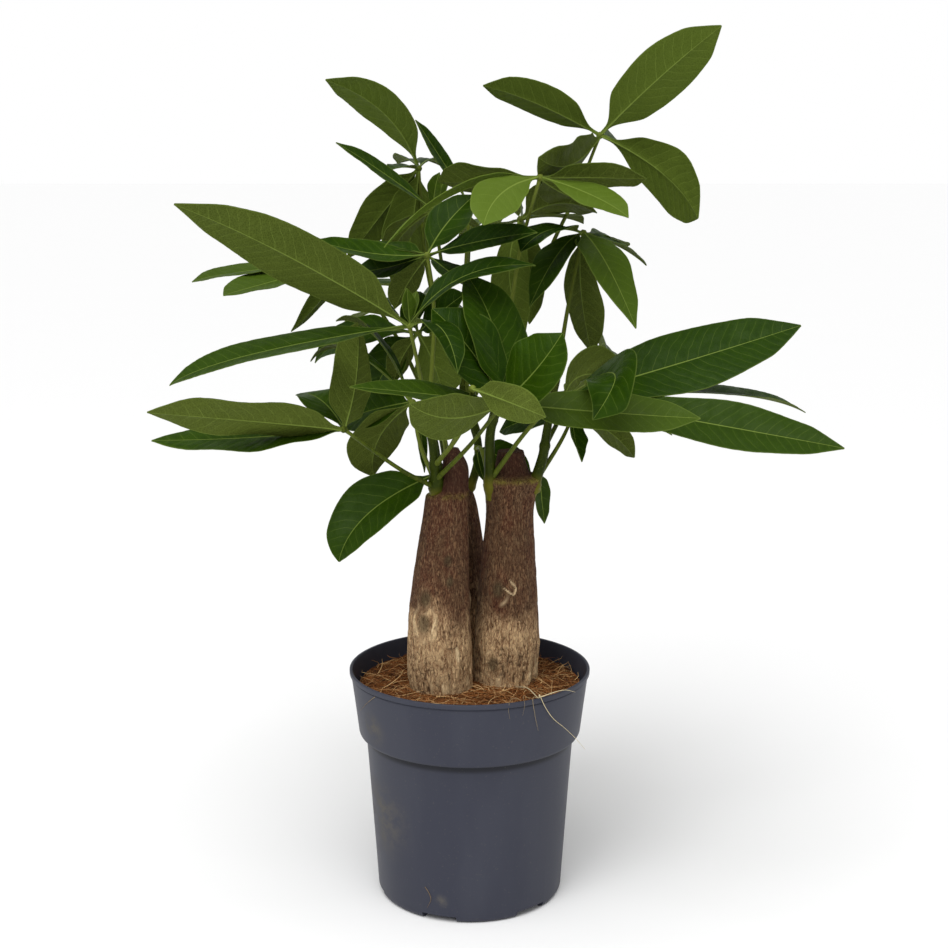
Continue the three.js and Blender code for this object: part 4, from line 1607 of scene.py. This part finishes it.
@dataclass
class Studio:
    """The pale floor, the soft light round the plant, and the camera at the viewpoint."""

    view: Viewpoint
    ambient: float = 0.5
    backdrop: float = 1.0
    daylight: float = 2.1
    daylight_spread: float = 50
    daylight_turn: tuple[float, float, float] = (26, -6, 0)
    floor_size: float = 60.0
    lamps: Sequence[Lamp] = (
        Lamp("key_box", (-0.9, -1.5, 1.5), (0, 0, 0.25), 1.0, 9),
        Lamp("fill_box", (1.3, -1.4, 0.8), (0, 0, 0.25), 1.2, 2),
    )

    def build(self) -> None:
        """Makes the camera, the floor, the lamps and the light all round, which the camera sees as white."""
        self.view.build()
        half = self.floor_size / 2
        mesh = bpy.data.meshes.new("floor")
        corners = [(-half, -half, 0), (half, -half, 0), (half, half, 0), (-half, half, 0)]
        mesh.from_pydata(corners, [], [(0, 1, 2, 3)])
        mesh.materials.append(FloorFinish().make())
        floor = put("floor", mesh)
        for lamp in self.lamps:
            lamp.build()
        data = bpy.data.lights.new("daylight", "SUN")
        data.energy, data.angle = self.daylight, radians(self.daylight_spread)
        put("daylight", data).rotation_euler = [radians(turn) for turn in self.daylight_turn]
        sky = Sky("soft_light")
        seen = sky.node("ShaderNodeLightPath", output="Is Camera Ray")
        levels = {"Value": seen, "To Min": self.ambient, "To Max": self.backdrop}
        strength = sky.node("ShaderNodeMapRange", {}, levels)
        bpy.context.scene.world = sky.finish(color=(1.0, 1.0, 1.0, 1.0), strength=strength)
        bpy.context.scene.view_settings.view_transform = "Standard"


DEEP, GROWN, FRESH, YOUNG = Age
LONG, BROAD, OVAL, EGG, TAPER, PLAIN = Outline

SHOOTS = [
    Shoot("shoot_left", [5.4, 2.8], [
        [-24, -24, -14], [-25.2, -12, -18], [-25.4, 2, -21], [-27.4, 22, -26], [-33, 39, -31],
    ], [
        Leaf(0.98, [-43, 99, -70], [[-35, 60, -48]], [
            Blade([-200, 180, -120], [-125, 146.2, -98], 48, 138, GROWN, TAPER, fold=8, wave=0.7),
            Blade([-203, 59, -100], [-149, 79.4, -96], 31.5, 64, GROWN, TAPER, wave=0.6),
            Blade([41, 139, -75], [-8, 131, -78], 30, 66, DEEP),
            Blade([-11, 67, -130], [-22.5, 97.5, -108], 24, 58, DEEP),
            Blade([-45, 124, -74], [-44, 112, -73], 12, 40, FRESH),
            Blade([-38, 122, -60], [-41, 111, -65], 12, 45, FRESH),
        ]),
        Leaf(0.95, [-31, 146, -20], [[-27, 116, -18], [-28, 70, -22]], [
            Blade([-107, 156, -36], [-68, 147, -28], 30, 64, DEEP),
            Blade([-81, 151, 8], [-55, 151, -6], 26, 76, DEEP),
            Blade([1, 186, -8], [-18, 167, -16], 31, 34, DEEP),
            Blade([42, 161, -66], [4, 155, -42], 30, 60, DEEP),
            Blade([-82, 134, -2], [-56, 138, -10], 30, 58, DEEP),
            Blade([-53, 110, -4], [-44, 128, -10], 26, 136, DEEP),
            Blade([-2, 124, -44], [-17, 135, -34], 22, 60, DEEP),
        ]),
        Leaf(0.3, [-87, 30, -55], [[-49, 3, -42]], [
            Blade([-218, 41.2, -92], [-150, 35.8, -78], 42, 126, GROWN, EGG, fold=8, wave=1.6),
            Blade([-215, 22.2, -52], [-146, 24.4, -52], 40, 58, DEEP, EGG, fold=10, wave=1.6),
            Blade([-78, 101, -16], [-79, 64, -42], 43, 132, GROWN, EGG),
            Blade([-114, 54, -8], [-100, 47.5, -30], 36, 46, DEEP, OVAL),
        ]),
        Leaf(0.4, [19, 47, -95], [[-2, 20, -60]], [
            Blade([-28, 110, -90], [-2, 82, -98], 50, 42, DEEP, OVAL, fold=16),
            Blade([-6, 134, -62], [14, 94, -82], 54, 46, DEEP, OVAL, fold=12),
            Blade([59, 94, -116], [41, 69, -114], 46, 36, DEEP, OVAL, fold=15),
            Blade([-83, 58, -128], [-30, 53, -118], 30, 66),
            # Painted shade: this underside leaflet is given a deep age to make it darker.
            Blade([-43, 47, -150], [-15, 37.6, -128], 34, 145, DEEP, OVAL, fold=6),
            # Painted light: this leaflet is given a fresh age to make it lighter.
            Blade([151, 37, -100], [88, 41, -99], 36, 42, FRESH, OVAL, fold=9),
        ]),
        Leaf(0.55, [-1, 57, -122], [[-8, 30, -78]], [
            # Painted shade: this underside leaflet is given a deep age to make it darker.
            Blade([48, 38, -152], [24, 48, -142], 25, 150, DEEP, OVAL, fold=4, wave=1.6),
        ]),
        Leaf(0.36, [-27, -1, -8], [[-26, -2, -12]], [
            Blade([-90, -58.6, -48], [-70.6, -26.6, -36], 46, 35, DEEP, EGG, fold=20, wave=0.6),
        ]),
        Leaf(0.35, [-41, 48, -14], [[-36, 20, -12]], [
            Blade([-67, -1.5, 2], [-63.5, 24.5, -4], 47, 136, DEEP, OVAL, fold=8),
            Blade([-33, 1, -4], [-35.5, 26, -9], 8, 30, DEEP, PLAIN),
            Blade([-90, 35, 14], [-66, 43, 2], 42, 48, DEEP, OVAL),
            Blade([-109, 75, -2], [-82, 82, -6], 26, 82, DEEP),
            Blade([-92, 102, 16], [-66, 92, 4], 28, 86, DEEP),
        ]),
    ]),
    Shoot("shoot_middle", [4.6, 2.8], [
        [12, -16, -2], [10.8, -4, -6], [10.4, 12, -10], [11, 28, -14], [16, 48, -16],
    ], [
        Leaf(0.95, [84, 226, 30], [[68, 186, 22], [53, 155, 16], [28, 96, 0]], [
            Blade([165, 299, -4], [123.2, 264.2, 12], 43, 152, FRESH, OVAL, fold=8, wave=0.5),
            Blade([6, 259, 20], [42.3, 247.2, 26], 38, 128, FRESH, OVAL, fold=14, wave=0.5),
            Blade([149.5, 170.6, -34], [126, 200.6, 0], 45, 142, FRESH, BROAD, fold=6, wave=0.8),
            Blade([43, 211, -44], [64, 206.4, -6], 39, 136, GROWN, EGG, fold=8, wave=1.8),
            Blade([108, 200, 120], [98, 219, 70], 30, 100, GROWN, PLAIN),
        ]),
        Leaf(0.9, [44, 198, -34], [[31, 150, -22], [23, 100, -14]], [
            Blade([-60, 151, -74], [-9, 189, -56], 24, 94, YOUNG, fold=18, wave=0.4),
            Blade([6.5, 166, -92], [19, 187.6, -66], 31, 24, YOUNG, BROAD, fold=5, wave=1.2),
            Blade([-24, 195, -2], [7, 195.4, -16], 36, 122, GROWN, BROAD),
            Blade([115, 197, -58], [84, 198, -46], 30, 122, GROWN, OVAL, fold=8),
            Blade([103, 171, -84], [78, 186, -62], 26, 54, YOUNG, fold=8),
            Blade([92, 182, 6], [66, 185, -14], 44, 120, DEEP, OVAL, fold=8),
        ]),
        Leaf(0.85, [31, 170, 12], [[26, 120, 2]], [
            Blade([82, 174, -16], [57, 181, -2], 42, 124, DEEP, OVAL),
            Blade([73, 167, 44], [54, 172, 28], 28, 92, DEEP, PLAIN),
            Blade([34, 93, -8], [24, 132, 0], 35, 140, FRESH, OVAL, fold=8),
            Blade([37, 100, 22], [36.5, 137, 16], 30, 136, FRESH, OVAL, fold=8),
            Blade([-11, 158, 104], [12, 164, 66], 30, 96, GROWN, PLAIN),
            Blade([34, 156, 104], [33, 168, 60], 34, 96, GROWN, PLAIN),
        ]),
        Leaf(0.2, [2, 17, 26], [[5, 16, 4]], [
            Blade([39, -4, 30], [18.6, 10.6, 30], 28, 30, DEEP, PLAIN),
            Blade([7, -5, 24], [3, 8, 24], 10, 30, DEEP, PLAIN),
        ]),
        Leaf(0.25, [59, 51, -38], [[38, 32, -30]], [
            Blade([218, 99, -8], [143, 75.5, -20], 54, 38, DEEP, OVAL, fold=7, wave=0.7),
            Blade([221, 41, 30], [164, 54, 8], 30, 78, DEEP),
            Blade([247, 17, -84], [164, 32.3, -62], 40, 40, fold=10, wave=0.8),
            Blade([79, 36, -132], [93, 67, -112], 40, 24, DEEP, BROAD, fold=22, wave=0.5),
            Blade([100, 60, -2], [73.5, 66.5, -22], 44, 140, GROWN, OVAL, fold=8),
        ]),
    ]),
    Shoot("shoot_right", [4.8, 2.3], [
        [37, -14, 2], [41, -4, -2], [46, 12, -4], [48.8, 30, -4], [55.5, 66, -2],
    ], [
        Leaf(0.98, [73, 161, 0], [[62.8, 112, 0]], [
            Blade([108, 97, -48], [88.8, 139, -26], 37, 45, FRESH, TAPER, fold=9),
            Blade([101, 151, 60], [90, 157.5, 34], 22, 90, DEEP, PLAIN),
            Blade([115, 139, 24], [97, 152, 14], 26, 86, DEEP),
            Blade([37, 111, -32], [56, 146.5, -18], 29, 50, DEEP),
            Blade([79, 80, 22], [71.6, 124, 10], 33, 140, DEEP, BROAD, fold=8),
            Blade([31, 148, -54], [50, 162.5, -36], 33, 72, DEEP),
        ]),
        Leaf(0.2, [67, 41, 10], [[58, 22, 4]], [
            Blade([72, 8, -14], [66.5, 27, -4], 26, 64, DEEP, fold=22),
            Blade([107, 11, -8], [91, 28, 4], 32, 128, GROWN, OVAL),
            Blade([132, 26, 34], [100, 39, 24], 26, 84, DEEP),
            Blade([97, 47, 112], [84, 54, 62], 34, 84, DEEP, PLAIN),
            Blade([44, 47, 96], [54, 54, 56], 34, 84, DEEP, PLAIN),
            Blade([17, 28, 34], [37, 36.5, 22], 30, 50, DEEP, OVAL),
        ]),
        Leaf(0.12, [44, 2, 6], [[43, 3, 2]], [
            Blade([47, -33, 12], [44.8, -14, 12], 15, 40, GROWN, OVAL),
        ]),
        Leaf(0.6, [90, 69, 84], [[66, 50, 44]], [
            Blade([146, 76, 168], [120, 80, 130], 38, 84, GROWN, PLAIN),
            Blade([112, 60, 186], [102, 74, 136], 38, 84, GROWN, PLAIN),
            Blade([84, 84, 176], [88, 86, 132], 38, 84, GROWN, PLAIN),
            Blade([64, 52, 156], [76, 68, 122], 36, 84, GROWN, PLAIN),
        ]),
    ]),
    Shoot("shoot_back", [3.6, 2.5], [
        [-4, -12, 38], [-1, -5, 34], [3, 12, 33], [0, 34, 36], [-8, 60, 42],
    ], [
        Leaf(0.98, [-27, 176, 24], [[-18, 118, 36]], [
            Blade([-92, 221, -8], [-59, 199.5, 8], 18, 60, DEEP),
            Blade([-18, 202, 22], [-22, 190, 23], 12, 40, FRESH),
            Blade([-23, 201, 8], [-26, 189, 15], 12, 34, FRESH),
            Blade([6, 157, 32], [-8, 170, 29], 26, 100),
            Blade([-59, 141, 36], [-46, 162, 30], 30, 122),
        ]),
        Leaf(0.9, [-3, 180, 48], [[-6, 122, 46]], [
            Blade([-39, 236, 24], [-22, 210, 38], 15, 50, DEEP),
            Blade([20, 176, 70], [10, 182, 62], 28, 100, GROWN, PLAIN),
            Blade([30, 172, 120], [14, 184, 86], 32, 92, GROWN, PLAIN),
        ]),
        Leaf(0.8, [-37, 204, 68], [[-30, 130, 58]], [
            Blade([-99, 263, 32], [-59.3, 240.2, 50], 42, 130, FRESH, BROAD, fold=8, wave=0.5),
            Blade([-51, 207, 134], [-44, 210, 104], 20, 90, DEEP, PLAIN),
            Blade([-23, 206, 130], [-29, 210, 102], 20, 90, DEEP, PLAIN),
            Blade([-55, 203, 24], [-47, 205, 46], 20, 84, DEEP),
            Blade([-84, 144, 72], [-59, 177, 68], 35, 146, FRESH, OVAL, fold=8),
            Blade([-50, 118, 54], [-42, 162, 60], 46, 142, FRESH, OVAL, fold=8),
        ]),
        Leaf(0.7, [-3, 158, 128], [[-4, 120, 88]], [
            Blade([-49, 157, 170], [-28, 166, 150], 36, 84, GROWN, PLAIN),
            Blade([-23, 173, 226], [-14, 173, 178], 36, 90, GROWN, PLAIN),
            Blade([17, 167, 228], [8, 171, 180], 36, 90, GROWN, PLAIN),
        ]),
    ]),
    Shoot("shoot_rear_left", [4.2, 2.8], [
        [-12, -12, 44], [-14, -4, 50], [-18, 10, 54], [-22, 30, 60],
    ], [
        Leaf(0.98, [-86, 141, 48], [[-52, 92, 58]], [
            Blade([-188, 128, 20], [-153, 135, 28], 27, 74, FRESH),
            Blade([-167, 119, -14], [-137, 127.5, 12], 34, 66, FRESH),
            Blade([-122, 95, 26], [-99.5, 120, 38], 22, 120, FRESH),
            Blade([-50, 106, 98], [-68, 122, 74], 32, 84, DEEP, PLAIN),
            Blade([-96, 129, 148], [-91, 141, 98], 36, 88, GROWN, PLAIN),
        ]),
        Leaf(0.6, [-37, 94, 34], [[-25, 52, 48]], [
            Blade([-20, 52, 22], [-27, 75, 22], 46, 136, FRESH, BROAD, fold=6),
            Blade([-54, 60, 24], [-48, 78, 26], 24, 138, DEEP, PLAIN),
            Blade([-41, 122, 18], [-42, 110, 26], 30, 46, DEEP, PLAIN),
            Blade([-68, 50, 48], [-56, 74, 42], 40, 44, DEEP, PLAIN),
            Blade([-106, 74, 46], [-79, 92.5, 42], 40, 58, DEEP, PLAIN),
            Blade([-6, 120, 14], [-22, 108, 22], 32, 50, DEEP, OVAL),
        ]),
        Leaf(0.98, [-29, 116, 130], [[-28, 78, 96]], [
            Blade([-89, 96, 188], [-60, 112, 164], 38, 84, GROWN, PLAIN),
            Blade([-39, 109, 240], [-34, 120, 188], 38, 90, GROWN, PLAIN),
            Blade([4, 96, 202], [-12, 112, 170], 38, 84, GROWN, PLAIN),
            Blade([-83, 122, 116], [-56, 126, 124], 36, 84, GROWN, PLAIN),
        ]),
        Leaf(0.7, [17, 89, 112], [[0, 50, 84]], [
            Blade([-13, 69, 190], [2, 86, 154], 36, 84, GROWN, PLAIN),
            Blade([17, 83, 230], [18, 94, 174], 38, 90, GROWN, PLAIN),
        ]),
    ]),
]

TRUNKS = [
    Trunk(
        "trunk_left",
        5,
        [
            [112, -18, -14, 12], [130, -19, -14, 17.5], [154, -20, -14, 21], [176, -21, -14, 22.4],
            [202, -21, -14, 21.8], [230, -20, -14, 20], [258, -18, -14, 17.8], [284, -15.9, -14, 15.4],
            [293, -15.2, -14, 14.8], [297, -12.2, -14, 11.8], [314, -9.8, -14, 9], [326, -12, -13.5, 5],
        ],
        knots=[(242, 224, 5.5), (241, 206, 7), (282, 251, 4), (288, 236, 3.5), (20, 215, 7)],
        peels=[
            (304, 184, 1.6, 6, 0.1), (224, 202, 0.8, 6.5, 0.36),
            (260, 205, 0.7, 8, -0.28), (276, 160, 0.9, 6, 0),
        ],
        tan_height=217,
        shoulder=295,
    ),
    Trunk(
        "trunk_right",
        11,
        [
            [112, 24, 4, 12], [130, 24.5, 4, 18], [151, 25.2, 4, 22], [173, 26.2, 4, 22.8],
            [195, 26.8, 4, 22.4], [220, 27, 4, 21.2], [250, 27.6, 4, 18.8], [276, 28.3, 4, 16.6],
            [293, 29.4, 4, 18.4], [302, 30.6, 4, 20.4], [306, 29.4, 4, 13.4], [321, 28.8, 4, 9.4],
        ],
        knots=[(250, 226, 6), (245, 172, 5.5), (120, 230, 7)],
        peels=[
            (279, 230, 0.9, 3.5, 0.8), (270, 225, 0.9, 3, 1.2),
            (283, 225, 0.8, 3, -0.3), (318, 160, 1.6, 6, 0.05),
        ],
        tan_height=207,
        shoulder=303,
    ),
    Trunk(
        "trunk_back",
        17,
        [
            [112, -4, 41, 11], [130, -5, 41, 16], [154, -6, 41, 19.4], [178, -6.5, 40.5, 20],
            [206, -6, 40, 19.6], [232, -6.2, 39, 18.4], [256, -7.8, 38, 16.8], [276, -9.4, 38, 15],
            [290, -11, 38, 11.6], [299, -11, 38, 7.5],
        ],
        knots=[(80, 200, 8), (110, 240, 6)],
        peels=[(95, 170, 1.0, 6, 0.1)],
    ),
]


def main() -> None:
    """Loads the frame, makes every piece in its place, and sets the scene."""
    logging.basicConfig(level=logging.INFO, format="%(name)s %(message)s")
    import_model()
    view = Viewpoint()
    Studio(view).build()
    pot = Pot()
    pot.build()
    Soil(pot).build(view)
    bark = BarkFinish().make()
    for trunk in TRUNKS:
        trunk.build(bark)
    finishes = [StalkFinish().make(), LeafFinish().make()]
    for seed, shoot in enumerate(SHOOTS, 1):
        shoot.build(view, seed, finishes)


if __name__ == "__main__":
    main()
